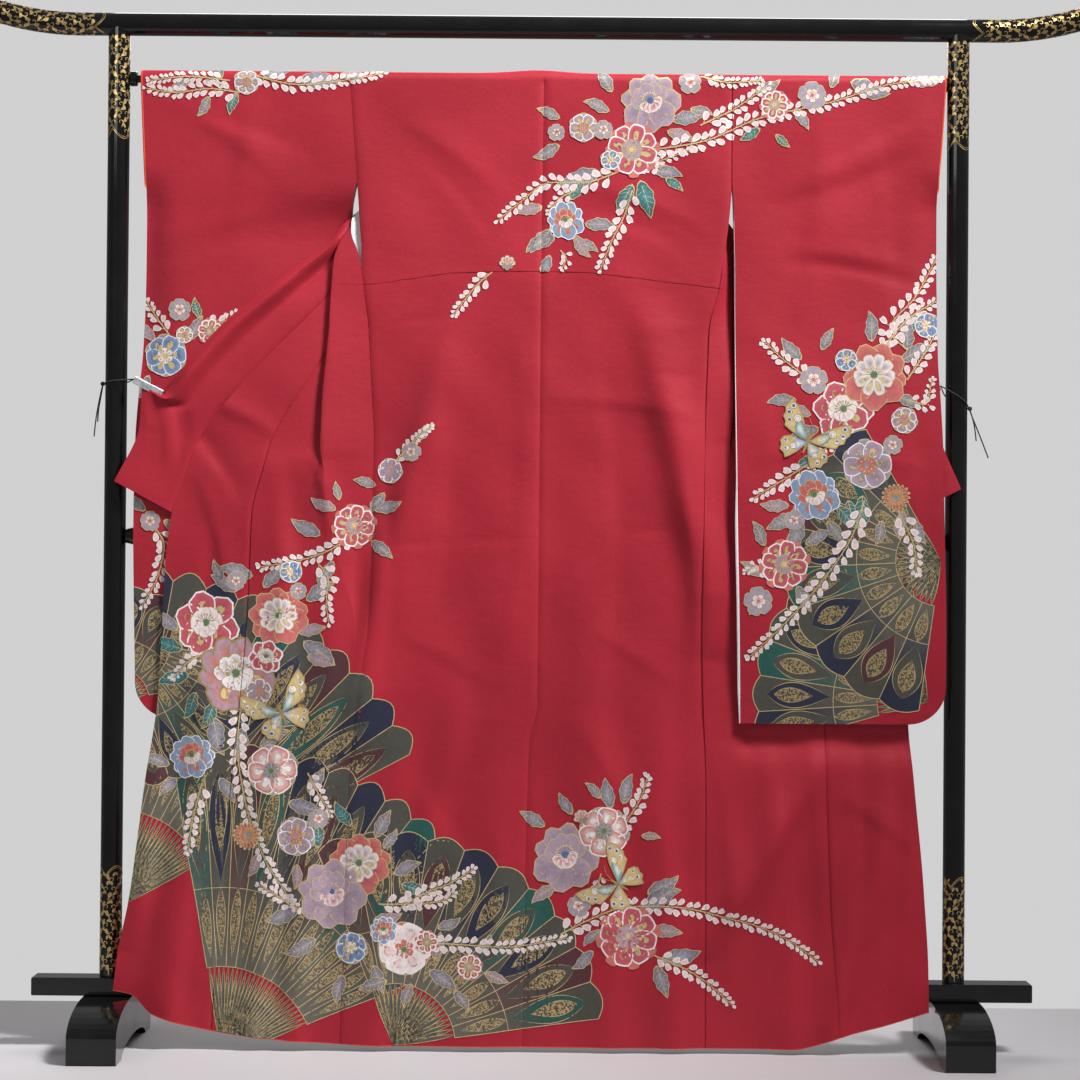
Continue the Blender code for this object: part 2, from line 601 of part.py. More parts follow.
def turned(name, profile, place, along, finish="lacquer", sides=ROUND_SIDES):
    """A turned piece: (distance along, radius) pairs spun round an axis through a place. Its ends are capped."""
    shape = bmesh.new()
    rings = []
    for distance, radius in profile:
        ring = []
        for k in range(sides):
            angle = 2 * math.pi * k / sides
            across, up = radius * math.cos(angle), radius * math.sin(angle)
            point = (distance, across, up) if along == "x" else (across, up, distance)
            ring.append(shape.verts.new([a + b for a, b in zip(place, point)]))
        rings.append(ring)
    for ring, after in zip(rings, rings[1:]):
        for k in range(sides):
            m = (k + 1) % sides
            shape.faces.new((ring[k], ring[m], after[m], after[k]))
    shape.faces.new(rings[0])
    shape.faces.new(rings[-1])
    return add_object(name, shape, finish, 30)


def top_rail():
    """A round rail whose ends curve up past the posts, with rounded tips."""
    straight = np.linspace(-TOP_BEND_X, TOP_BEND_X, 5)
    bend = np.linspace(TOP_BEND_X, TOP_HALF, 8)[1:]
    xs = np.concatenate([-bend[::-1], straight, bend])
    rise = TOP_RISE * (np.clip(np.abs(xs) - TOP_BEND_X, 0, None) / (TOP_HALF - TOP_BEND_X)) ** 2
    path = np.stack([xs, 0 * xs, TOP_Z + rise], axis=-1)
    tangents = np.gradient(path, axis=0)
    tangents /= np.linalg.norm(tangents, axis=-1, keepdims=True)
    radii = np.full(len(xs), TOP_R)
    radii[[0, -1]] = TOP_R - 4
    shape = bmesh.new()
    rings = []
    for point, tangent, radius in zip(path, tangents, radii):
        up = np.cross(tangent, (0, 1, 0)) * -1
        ring = []
        for k in range(ROUND_SIDES):
            angle = 2 * math.pi * k / ROUND_SIDES
            ring.append(shape.verts.new(point + radius * (math.cos(angle) * np.array((0, 1, 0)) + math.sin(angle) * up)))
        rings.append(ring)
    for ring, after in zip(rings, rings[1:]):
        for k in range(ROUND_SIDES):
            m = (k + 1) % ROUND_SIDES
            shape.faces.new((ring[k], ring[m], after[m], after[k]))
    shape.faces.new(rings[0])
    shape.faces.new(rings[-1])
    return add_object("top_rail", shape, "lacquer", 30)


def coped(piece, cutter_name, radius, place, along):
    """Cuts a round hollow into a piece so that it fits against a round one with a small gap."""
    reach = 60.0
    profile = ((-reach, radius + SEAM_GAP), (reach, radius + SEAM_GAP))
    cutter = turned(cutter_name, profile, place, along, sides=ROUND_SIDES * 2)
    cutter.hide_render = True
    cutter.display_type = "WIRE"
    cut = piece.modifiers.new(cutter_name, "BOOLEAN")
    cut.operation = "DIFFERENCE"
    cut.object = cutter


def stand():
    top_rail()
    inner = POST_X - POST_R - SEAM_GAP
    run = inner - RAIL_NECK
    collar = run - RAIL_NECK
    bead = 1.5
    turned(
        "hanging_rail",
        (
            (-inner, RAIL_R - bead), (-inner + bead, RAIL_R), (-run - bead, RAIL_R), (-run, RAIL_R - bead),
            (-run, RAIL_NECK_R), (-collar, RAIL_NECK_R), (-collar, RAIL_R),
            (collar, RAIL_R), (collar, RAIL_NECK_R), (run, RAIL_NECK_R),
            (run, RAIL_R - bead), (run + bead, RAIL_R), (inner - bead, RAIL_R), (inner, RAIL_R - bead),
        ),
        (0, 0, RAIL_Z), "x",
    )
    taper = 26.0
    turned(
        "middle_rail",
        ((-inner, MIDDLE_R - 6), (-inner + taper, MIDDLE_R), (inner - taper, MIDDLE_R), (inner, MIDDLE_R - 6)),
        (0, 0, MIDDLE_Z), "x",
    )
    for side, word in ((-1, "left"), (1, "right")):
        post = turned(
            "post_" + word,
            ((STRETCHER_Z[1] + SEAM_GAP, POST_R), (TOP_Z, POST_R)),
            (side * POST_X, 0, 0), "z",
        )
        coped(post, "saddle_" + word, TOP_R, (side * POST_X, 0, TOP_Z), "x")
        foot(side, word)
    bar = bmesh.new()
    bmesh.ops.create_cube(bar, size=1)
    low, high = STRETCHER_Z
    bmesh.ops.scale(bar, vec=(2 * STRETCHER_HALF, STRETCHER_DEPTH, high - low), verts=bar.verts)
    bmesh.ops.translate(bar, vec=(0, 0, (low + high) / 2), verts=bar.verts)
    bmesh.ops.bevel(bar, geom=bar.edges[:], offset=2, segments=2, profile=0.5, affect="EDGES")
    add_object("stretcher", bar, "lacquer", 30)


def foot(side, word):
    """A foot: its profile runs over a convex top, down a rounded nose, and under an arch between two pads."""
    steps = 9
    flat = STRETCHER_DEPTH / 2 + 4
    top = []
    for k in range(steps + 1):
        t = k / steps
        y = flat + (FOOT_HALF - flat) * math.sin(t * math.pi / 2)
        z = FOOT_NOSE + (FOOT_TOP - FOOT_NOSE) * math.cos(t * math.pi / 2)
        top.append((y, z))
    under = []
    for k in range(steps + 1):
        y = (FOOT_HALF - FOOT_PAD) * math.cos(math.pi / 2 * k / steps)
        under.append((y, FOOT_ARCH * math.sin(math.pi / 2 * k / steps)))
    half = [(0, FOOT_TOP)] + top + [(FOOT_HALF, 3), (FOOT_HALF - 3, 0)] + under
    profile = half + [(-y, z) for y, z in reversed(half[1:-1])]
    shape = bmesh.new()
    x = side * POST_X - FOOT_WIDTH / 2
    ring = [shape.verts.new((x, y, z)) for y, z in profile]
    face = shape.faces.new(ring)
    pushed = bmesh.ops.extrude_face_region(shape, geom=[face])
    moved = [v for v in pushed["geom"] if isinstance(v, bmesh.types.BMVert)]
    bmesh.ops.translate(shape, vec=(FOOT_WIDTH, 0, 0), verts=moved)
    add_object("foot_" + word, shape, "lacquer", 30)


def clip(side, word):
    """A folded clip: a U-shaped wall over the collar's edge, tilted as it hangs."""
    at = CLIPS[side]
    half = CLIP_SLOT / 2
    outer = half + CLIP_WALL
    section = (
        (-outer, 0), (-half, 0), (-half, CLIP_HEIGHT - CLIP_WALL), (half, CLIP_HEIGHT - CLIP_WALL),
        (half, 0), (outer, 0), (outer, CLIP_HEIGHT - 2), (outer - 2, CLIP_HEIGHT),
        (-outer + 2, CLIP_HEIGHT), (-outer, CLIP_HEIGHT - 2),
    )
    tilt = math.radians(at["tilt"])
    shape = bmesh.new()
    rings = []
    for end in (-CLIP_LENGTH / 2, CLIP_LENGTH / 2):
        ring = []
        for y, up in section:
            rise = up - CLIP_HEIGHT / 2
            x = at["x"] + end * math.cos(tilt) - rise * math.sin(tilt)
            z = at["z"] + end * math.sin(tilt) + rise * math.cos(tilt)
            ring.append(shape.verts.new((x, at["y"] + y, z)))
        rings.append(ring)
    shape.faces.new(rings[0])
    shape.faces.new(rings[1])
    count = len(section)
    for k in range(count):
        m = (k + 1) % count
        shape.faces.new((rings[0][k], rings[0][m], rings[1][m], rings[1][k]))
    add_object("clip_" + word, shape, "clip", 30)


def cord(name, points, radius=CORD_R):
    """A round cord along a smooth curve through its points."""
    points = np.array(points, float)
    lengths = np.linalg.norm(np.diff(points, axis=0), axis=1)
    along = np.concatenate([[0], np.cumsum(lengths)])
    count = max(int(along[-1] / (radius * 4)), 4)
    at = np.linspace(0, along[-1], count)
    smooth = np.stack([curve(along, points[:, k], at) for k in range(3)], axis=-1)
    data = bpy.data.curves.new(name, "CURVE")
    data.dimensions = "3D"
    line = data.splines.new("POLY")
    line.points.add(count - 1)
    for point, place in zip(line.points, smooth):
        point.co = (*(place * MM), 1)
    data.bevel_depth = radius * MM
    data.bevel_resolution = 2
    data.use_fill_caps = True
    data.materials.append(material("cord"))
    made = bpy.data.objects.new(name, data)
    bpy.context.collection.objects.link(made)


def ties(side, word):
    """Two strands from the clip's outer end round the post, before and behind it, to a knot with two tails.

    Each strand is straight to where it touches the post and then follows its round.
    """
    at = CLIPS[side]
    tilt = math.radians(at["tilt"])
    reach = CLIP_LENGTH / 2 + CORD_R + SEAM_GAP
    end_x = at["x"] + side * reach * math.cos(tilt)
    end_z = at["z"] + side * reach * math.sin(tilt)
    ring = POST_R + CORD_R + 2 * SEAM_GAP
    last = math.pi - math.radians(KNOT_SHARE)
    for strand, turn in (("front", -1), ("rear", 1)):
        y = at["y"] + turn * (CORD_R + SEAM_GAP / 2)
        inward = POST_X - side * end_x
        first = math.atan2(turn * y, inward) + math.acos(ring / math.hypot(inward, y))
        points = [(end_x, y, end_z)]
        for share in np.linspace(0, 1, 7):
            angle = first + (last - first) * share
            rise = (KNOT_Z[side] - end_z) * (0.4 + 0.6 * share)
            points.append((side * (POST_X - ring * math.cos(angle)), turn * ring * math.sin(angle), end_z + rise))
        cord(f"tie_{strand}_{word}", points)
    knot = bmesh.new()
    bmesh.ops.create_icosphere(knot, subdivisions=2, radius=KNOT_R)
    knot_x = side * (POST_X + POST_R + SEAM_GAP + KNOT_R)
    bmesh.ops.translate(knot, vec=(knot_x, 0, KNOT_Z[side]), verts=knot.verts)
    add_object("tie_knot_" + word, knot, "cord", 60)
    for number, route in enumerate(TAILS[side], 1):
        cord(f"tie_tail_{word}_{number}", route)


def main():
    clear_scene()
    stand()
    for side, word in ((-1, "left"), (1, "right")):
        garment_half(side, word)
        clip(side, word)
        ties(side, word)


main()
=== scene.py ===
"""The looks of a furisode on its kimono stand, seen from the back.

Sizes in the tables are millimetres in the model's own frame: +X is the viewer's right, +Y runs away
from the viewer and +Z is up. Each cloth panel is a surface worked out from its table, row by row, and
the dyed flowers are thin pieces laid on those surfaces.
"""

import json
import math

import bpy
import numpy as np

from mathutils import Matrix, Vector
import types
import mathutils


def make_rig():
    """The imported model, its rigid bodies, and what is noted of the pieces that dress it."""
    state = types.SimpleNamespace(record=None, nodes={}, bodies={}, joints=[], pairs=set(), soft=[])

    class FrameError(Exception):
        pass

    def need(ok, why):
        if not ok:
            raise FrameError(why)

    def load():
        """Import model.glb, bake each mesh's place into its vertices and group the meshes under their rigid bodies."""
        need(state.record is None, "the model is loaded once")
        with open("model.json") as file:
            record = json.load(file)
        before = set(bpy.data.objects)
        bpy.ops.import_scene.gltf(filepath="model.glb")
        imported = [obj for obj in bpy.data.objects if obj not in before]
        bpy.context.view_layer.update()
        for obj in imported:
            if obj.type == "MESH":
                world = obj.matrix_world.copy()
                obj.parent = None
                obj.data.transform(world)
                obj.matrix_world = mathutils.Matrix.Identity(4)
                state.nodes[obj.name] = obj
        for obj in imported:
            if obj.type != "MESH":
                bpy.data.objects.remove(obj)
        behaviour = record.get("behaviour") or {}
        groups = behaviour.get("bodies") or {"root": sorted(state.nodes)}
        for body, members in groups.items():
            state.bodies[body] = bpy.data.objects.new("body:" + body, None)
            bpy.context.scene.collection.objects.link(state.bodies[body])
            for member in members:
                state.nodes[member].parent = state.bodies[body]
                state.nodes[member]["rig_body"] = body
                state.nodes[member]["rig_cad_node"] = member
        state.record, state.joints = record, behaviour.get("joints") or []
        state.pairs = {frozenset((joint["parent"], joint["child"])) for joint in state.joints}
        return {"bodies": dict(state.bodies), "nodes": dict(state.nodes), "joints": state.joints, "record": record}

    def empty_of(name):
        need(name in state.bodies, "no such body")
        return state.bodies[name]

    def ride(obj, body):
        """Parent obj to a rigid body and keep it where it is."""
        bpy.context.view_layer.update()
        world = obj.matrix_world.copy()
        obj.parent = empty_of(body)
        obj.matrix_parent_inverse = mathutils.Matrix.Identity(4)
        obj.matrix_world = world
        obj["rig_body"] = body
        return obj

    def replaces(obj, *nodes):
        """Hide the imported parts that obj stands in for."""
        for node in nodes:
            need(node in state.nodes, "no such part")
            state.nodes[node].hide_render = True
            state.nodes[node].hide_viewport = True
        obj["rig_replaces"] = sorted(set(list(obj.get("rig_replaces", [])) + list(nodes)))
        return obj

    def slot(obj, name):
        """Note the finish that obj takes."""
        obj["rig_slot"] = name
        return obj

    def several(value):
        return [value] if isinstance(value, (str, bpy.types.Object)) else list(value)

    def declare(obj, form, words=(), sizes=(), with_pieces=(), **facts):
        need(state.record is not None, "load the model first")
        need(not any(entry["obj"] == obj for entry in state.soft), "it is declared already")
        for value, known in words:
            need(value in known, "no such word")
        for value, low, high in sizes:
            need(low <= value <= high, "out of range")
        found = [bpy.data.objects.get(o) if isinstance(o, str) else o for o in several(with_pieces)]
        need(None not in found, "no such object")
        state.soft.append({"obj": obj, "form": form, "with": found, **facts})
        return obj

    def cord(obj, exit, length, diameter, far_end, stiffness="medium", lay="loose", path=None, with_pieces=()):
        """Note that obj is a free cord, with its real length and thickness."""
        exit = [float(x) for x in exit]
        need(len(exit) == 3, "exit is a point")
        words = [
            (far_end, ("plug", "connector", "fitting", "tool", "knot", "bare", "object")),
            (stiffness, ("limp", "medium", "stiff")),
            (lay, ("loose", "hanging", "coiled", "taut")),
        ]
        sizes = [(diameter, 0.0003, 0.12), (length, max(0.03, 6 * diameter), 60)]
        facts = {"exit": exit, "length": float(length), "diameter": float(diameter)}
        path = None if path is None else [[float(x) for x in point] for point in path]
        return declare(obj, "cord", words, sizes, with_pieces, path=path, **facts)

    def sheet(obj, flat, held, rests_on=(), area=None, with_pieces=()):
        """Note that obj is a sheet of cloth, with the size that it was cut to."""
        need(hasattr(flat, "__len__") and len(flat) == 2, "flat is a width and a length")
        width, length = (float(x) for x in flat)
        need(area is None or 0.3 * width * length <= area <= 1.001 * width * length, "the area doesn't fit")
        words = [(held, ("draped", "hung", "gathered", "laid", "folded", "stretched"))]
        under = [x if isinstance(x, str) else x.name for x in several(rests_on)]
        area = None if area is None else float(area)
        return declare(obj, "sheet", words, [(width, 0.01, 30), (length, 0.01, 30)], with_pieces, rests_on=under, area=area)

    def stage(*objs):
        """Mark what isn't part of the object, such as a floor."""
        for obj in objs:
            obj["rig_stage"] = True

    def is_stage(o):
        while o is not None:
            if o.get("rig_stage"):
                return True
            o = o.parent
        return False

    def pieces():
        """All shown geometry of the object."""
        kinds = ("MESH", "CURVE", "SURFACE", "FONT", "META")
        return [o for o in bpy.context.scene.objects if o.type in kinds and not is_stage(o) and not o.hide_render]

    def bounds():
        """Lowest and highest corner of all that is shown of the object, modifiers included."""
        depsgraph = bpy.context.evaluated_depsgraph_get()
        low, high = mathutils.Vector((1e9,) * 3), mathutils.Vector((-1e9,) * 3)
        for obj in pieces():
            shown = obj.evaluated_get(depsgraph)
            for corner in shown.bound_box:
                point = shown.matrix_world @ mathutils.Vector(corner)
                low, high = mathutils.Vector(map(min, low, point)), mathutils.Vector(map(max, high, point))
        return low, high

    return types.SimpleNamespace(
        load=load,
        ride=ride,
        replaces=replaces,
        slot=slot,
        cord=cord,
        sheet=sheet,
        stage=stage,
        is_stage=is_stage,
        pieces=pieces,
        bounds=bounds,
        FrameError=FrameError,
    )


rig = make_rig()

bl_info = {
    "name": "Furisode on a Kimono Stand",
    "version": (1, 0, 0),
    "blender": (4, 5, 0),
    "location": "View3D > Sidebar > Furisode",
    "description": "Dresses the packed furisode and its stand: cloth, dyed flowers, lacquer, gold and light",
    "category": "Object",
}

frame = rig.load()
CAD_BOX = [list(corner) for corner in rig.bounds()]
MM = 0.001
SIDES = ((-1, "left"), (1, "right"))
WORDS = dict(SIDES)


def value(word):
    """A word of a table: a whole number, a number or a name."""
    for kind in (int, float):
        try:
            return kind(word)
        except ValueError:
            pass
    return word


def rows_of(text):
    """The rows of a table written as text. A row ends at a comma or at the end of its line."""
    rows = text.replace("\n", ",").split(",")
    return [[value(word) for word in row.split()] for row in rows if row.strip()]


# Cloth sizes that the model shares
ARMHOLE_Z = 1443.0
CUFF_Z = 1400.0
UNDERARM_Z = 1311.0
OVERLAP_TOP_Z = 1425.0
COVER_END_Z = 1311.0
COLLAR_END_Z = 886.0
HEM_Z = 10.0
HEM_LIFT_TOP = 260.0
RAIL_Z = 1610.0
MIDDLE_RAIL_Z = 847.0
MIDDLE_RAIL_R = 17.5
MIDDLE_RAIL_END = 690.0
RAIL_CLEAR = 1.2
OVER_RAIL_R = 13.9
NECK_RISE = 5.0
NECK_RISE_WIDTH = 55.0
NECK_EASE = 1.3
SLEEVE_BOTTOM = 545.0
SLEEVE_CORNER = 62.0
TURN_HALF = 1.9
TURN_SPREAD = 3.0
TURN_SHARE = 0.3
LAYER_GAP = 1.05

CENTRE_SEAM = {"z": (1625, 1291, 575, 508, 10), "x": (8.8, 6.4, 5.4, -7.4, -15)}
YOKE_EDGE = {
    -1: {"z": (1443, 1405, 1375, 1341, 1311), "x": (-301.3, -298, -296, -292.5, -292)},
    1: {"z": (1443, 1400, 1341, 1311), "x": (323, 320, 312, 306)},
}
YOKE_DEPTH = {"z": (1443, 1375, 1311), "y": (-13.9, -15, -16.6)}
SHOULDER_EDGE = {-1: {"z": (1443, 1610), "x": (-301.3, -314.3)}, 1: {"z": (1443, 1610), "x": (323, 323)}}
HEM_LIFT = {
    "x": (-690, -660, -624, -468, -318, -218, 431, 514, 574, 655),
    "z": (88, 82, 50, 15, 3, 0, 0, 22, 37, 62),
}

# The fronts, a row for each height: side seam, outer fold, inner fold, overlap seam and collar seam
WING_COLUMNS = ("z", "side", "side_y", "fold", "fold_y", "tuck", "tuck_y", "seam", "seam_y", "edge", "edge_y")
WINGS = {
    -1: rows_of("""
    1610 -314.3 13.9 -200 13.9 -90 13.9 8.8 13.9 8.8 13.9
    1604 -313.8 13.9 -210 13.9 -110 13.9 -38 14.2 -38 14.2
    1598 -313.3 13.9 -220 13.9 -118 13.9 -70 14.8 -70 14.8
    1590 -312.7 13.9 -228 13.9 -112 14 -96 15.6 -96 15.6
    1580 -311.9 13.9 -235 13.9 -114.5 14 -117 17.4 -117 17.4
    1540 -308.8 13.9 -240 13.9 -114 14 -145 19 -145 19
    1500 -305.7 13.9 -240 13.9 -120 14 -173 19.5 -173 19.5
    1443 -301.3 13.9 -240 13.9 -139 14 -212 19.5 -212 19.5
    1425 -294 9 -262 11 -146 13.5 -221 18 -224 18
    1405 -292 2 -275 4.5 -154 12.8 -231 15 -238 15
    1390 -300 -3 -282 0 -161 12.5 -239 11 -249 11
    1375 -310 -9.5 -305 -7.5 -170 12 -246 7 -259 7
    1358 -310.5 -14.2 -315 -11.2 -179 10 -254 4 -271 4
    1341 -306 -14.5 -326 -13.5 -189 8 -262 1 -283 1
    1311 -292 -16.6 -336 -16.5 -204 4 -274 -3 -303 -3
    1259 -286 -17.4 -340 -18 -220 -3 -292 -8 -339.5 -10
    1200 -280 -18 -343 -22 -240 -6 -322 -13 -394 -17
    1150 -277 -18.6 -347 -25.5 -261 -9.5 -350 -19 -443 -22
    1080 -273 -19.3 -353 -29.5 -290 -17 -397 -24.5 -506 -26.5
    1006 -269 -20 -355 -33.2 -337 -25 -437.5 -27.5 -559 -27.5
    954 -269.5 -20.4 -352 -33 -366 -30.2 -452 -31 -579 -29.5
    886 -270.3 -21 -344 -31 -378 -30.4 -468 -31 -601.5 -30
    806 -271 -22 -325 -29.5 -382 -30.8 -471 -31 -611 -30
    700 -275.2 -23 -298 -28.5 -385 -30.5 -475 -30.5 -616 -29.5
    590 -291 -25 -312 -28.5 -400 -30 -484 -30.5 -621 -29.5
    439 -304.8 -27.4 -360 -29 -425 -31 -498 -32 -641 -31
    272 -309 -30.8 -370 -32 -440 -34 -510 -35 -661 -34
    116 -313.3 -34 -375 -35 -450 -36.5 -521 -37 -684 -37
    10 -316 -36 -380 -37 -455 -38 -526 -38 -690 -38
    """),
    1: rows_of("""
    1610 323 13.9 205 13.9 100 13.9 8.8 13.9 8.8 13.9
    1604 323 13.9 215 13.9 115 13.9 46 14.2 46 14.2
    1598 323 13.9 225 13.9 122 13.9 76 14.8 76 14.8
    1590 323 13.9 232 13.9 116 14 100 15.6 100 15.6
    1580 323 13.9 240 13.9 118.5 14 121 17.4 121 17.4
    1540 323 13.9 245 13.9 118 14 149 19 149 19
    1500 323 13.9 250 13.9 124 14 177 19.5 177 19.5
    1443 323 13.9 262 13.9 143 14 216 20 216 20
    1425 321 13 275 14 150 14.5 225 20.5 228 20.5
    1405 317 11 290 13 159 15 235 21 242 21
    1390 315 8 305 11.5 166 15.5 243 21 253 21
    1375 314 4 317 9.5 174 16 250 21 263 21
    1341 310 -6 321 7.5 190 16 266 20 287 20
    1311 306 -16.6 322 5 205 14 276 18 307 18
    1259 296 -17.4 322 2 220 10 294 13.5 343 13.5
    1200 287 -18 323 -3 240 4 326 6 398 6
    1150 285 -18.6 324 -8.5 262 -3 352 -3 447 -3
    1080 282.7 -19.3 326 -17 294 -10 399 -12.5 508 -12
    1006 281 -20 322 -20.5 324 -16.5 439 -19 562 -17
    954 280 -20.4 322 -21 350 -21 456 -22 583 -22
    886 279.6 -21 322 -21.5 386 -22 471 -22.5 608 -22.5
    806 279 -22 325 -22 398 -22.5 476 -23 611 -23
    700 278.2 -23 330 -23 403 -23.5 478 -24 614 -23.5
    590 280.5 -25 336 -25 408 -25 479.5 -25.5 617 -25
    439 286.4 -27.4 345 -28 415 -28 484 -28 630 -28
    272 287.2 -30.8 352 -31 420 -31 490 -31.5 646 -31.5
    116 287.8 -34 358 -34.5 428 -34.5 500 -35 654 -35
    10 288 -36 360 -36.5 432 -36.5 507 -37 655 -37
    """),
}

# The collar's free edge, against the height at which its sewn edge lies
COLLAR_EDGE_COLUMNS = ("seam_z", "x", "y", "z")
COLLARS = {
    -1: rows_of("""
    1610 8.8 17 1556, 1604 -45 24 1551, 1598 -88 40 1556, 1590 -118 50 1572
    1580 -140 48 1592, 1540 -178 34 1572, 1500 -211 27 1531, 1443 -255 21 1472
    1405 -268 18 1428, 1375 -296 10 1396, 1341 -322 -1 1370, 1300 -350 -5 1336
    1259 -400 -11 1298, 1200 -460 -18 1250, 1150 -515 -22 1204, 1080 -588 -26.7 1122
    1050 -621 -27 1079, 1006 -651 -27 1098, 954 -657 -28 1027, 886 -697 -30 937
    """),
    1: rows_of("""
    1610 8.8 17 1556, 1604 53 24 1551, 1598 96 40 1556, 1590 126 50 1572
    1580 148 48 1592, 1540 184 34 1572, 1500 216 28 1531, 1443 260 25 1472
    1405 285 24 1432, 1375 304 23 1402, 1341 326 21 1370, 1300 354 19 1336
    1259 404 15 1298, 1200 464 9 1250, 1150 519 3 1204, 1080 592 -13 1122
    1050 625 -14.2 1079, 1006 655 -14.4 1098, 954 668 -19.5 1027, 886 705 -23 935
    """),
}

# The sleeves, a row for each height: both edges, and the depth of the back and front layers at them
SLEEVE_COLUMNS = ("z", "inner", "outer", "back_in", "back_out", "front_in", "front_out")
SLEEVES = {
    -1: rows_of("""
    1610 -314.3 -660 -13.9 -13.9 13.9 13.9, 1500 -305.7 -655 -13.9 -13.9 13.9 13.9
    1443 -301.3 -652.5 -13.9 -13.9 13.9 13.5, 1425 -304.5 -652 -12.6 -13.9 14 13.2
    1405 -308 -651.6 -7.5 -13.8 14.3 12.6, 1390 -309 -651.3 -1.5 -13.7 14.6 12
    1370 -309 -651 4.5 -13.5 14.6 11.2, 1341 -308 -651 7.6 -13.3 14 10
    1300 -306 -651 5.5 -13 13 9, 1225 -305 -652 3 -13.4 11 6.5
    1150 -304 -655 -1 -14.5 7 3, 1080 -303 -661 -10 -17 -2 -4
    1006 -302 -665 -17 -20 -12 -12, 870 -301 -666 -22.4 -24.5 -20 -20.2
    700 -300 -663 -22.6 -24.5 -20 -20.2, 607 -300 -661 -22.6 -24 -20 -20.2
    545 -300 -661 -22.5 -23.4 -20 -20.2
    """),
    1: rows_of("""
    1610 323 676 -13.9 -13.9 13.9 13.9, 1500 323 669 -13.9 -13.9 13.9 13.9
    1443 323 665 -13.9 -13.9 13.9 13.5, 1425 324.5 665 -13.7 -13.9 13.2 13
    1405 325.5 664.5 -13.4 -13.9 12.4 12.4, 1390 326 664.5 -13.3 -14 12 12
    1341 327.5 664.5 -13.2 -14.4 10.5 10.5, 1300 328.5 664.6 -13.3 -15 9 8.8
    1225 329 665 -16 -18 0 -3, 1150 330 666 -21 -24 -11 -15
    1080 331 670 -27.5 -29 -20 -23, 1006 332.5 674 -31 -32 -25 -26.5
    870 335 677 -33 -33.5 -28.5 -28.5, 700 339 681 -33 -33.5 -28.5 -28.5
    607 340.5 681 -32.6 -33 -28.8 -28.8, 545 341 681 -32 -32.2 -29 -29
    """),
}

# Large soft folds of the skirt: how far each stands out, its half widths to the left and to the right, and
# the places down its crest. Each grows from its top, and fades at its lower end where that is above the hem.
FOLDS = rows_of("""
    10.5 30 50 -134 1250 -150 1160 -184 1020 -214 900 -248 780 -282 650 -312 480
    9.5 30 46 162 1275 189 1179 220 1046 249 912 281 800 292 650
    6 32 28 -120 640 -136 500 -170 400 -205 230
    9.5 32 30 500 545 431 414 382 330 333 247 285 150
    8.5 28 26 585 530 579 400 567 300 530 170 500 40
    3.5 50 46 -30 1180 -45 800 -60 420 -85 20
    5 44 40 75 980 92 560 120 300 132 20
    6 40 24 215 640 206 420 228 240 236 20
    5 42 26 -215 560 -240 300 -262 20
    6 30 22 -330 900 -334 700 -352 500 -372 260 -392 40
    6.5 40 22 -410 860 -418 560 -438 300 -452 50
    7 42 24 -520 760 -540 500 -574 260 -596 100
    5 34 20 -610 560 -640 300 -668 130
    5 34 22 395 540 404 400 420 200 428 40
""")
FOLD_SCALE = 1.6

# Hollows below the right sleeve and beside it: first and last place across, height, half height and depth
HOLLOWS = ((322, 648, 516, 27, 9.0), (288, 400, 780, 260, 7.0))

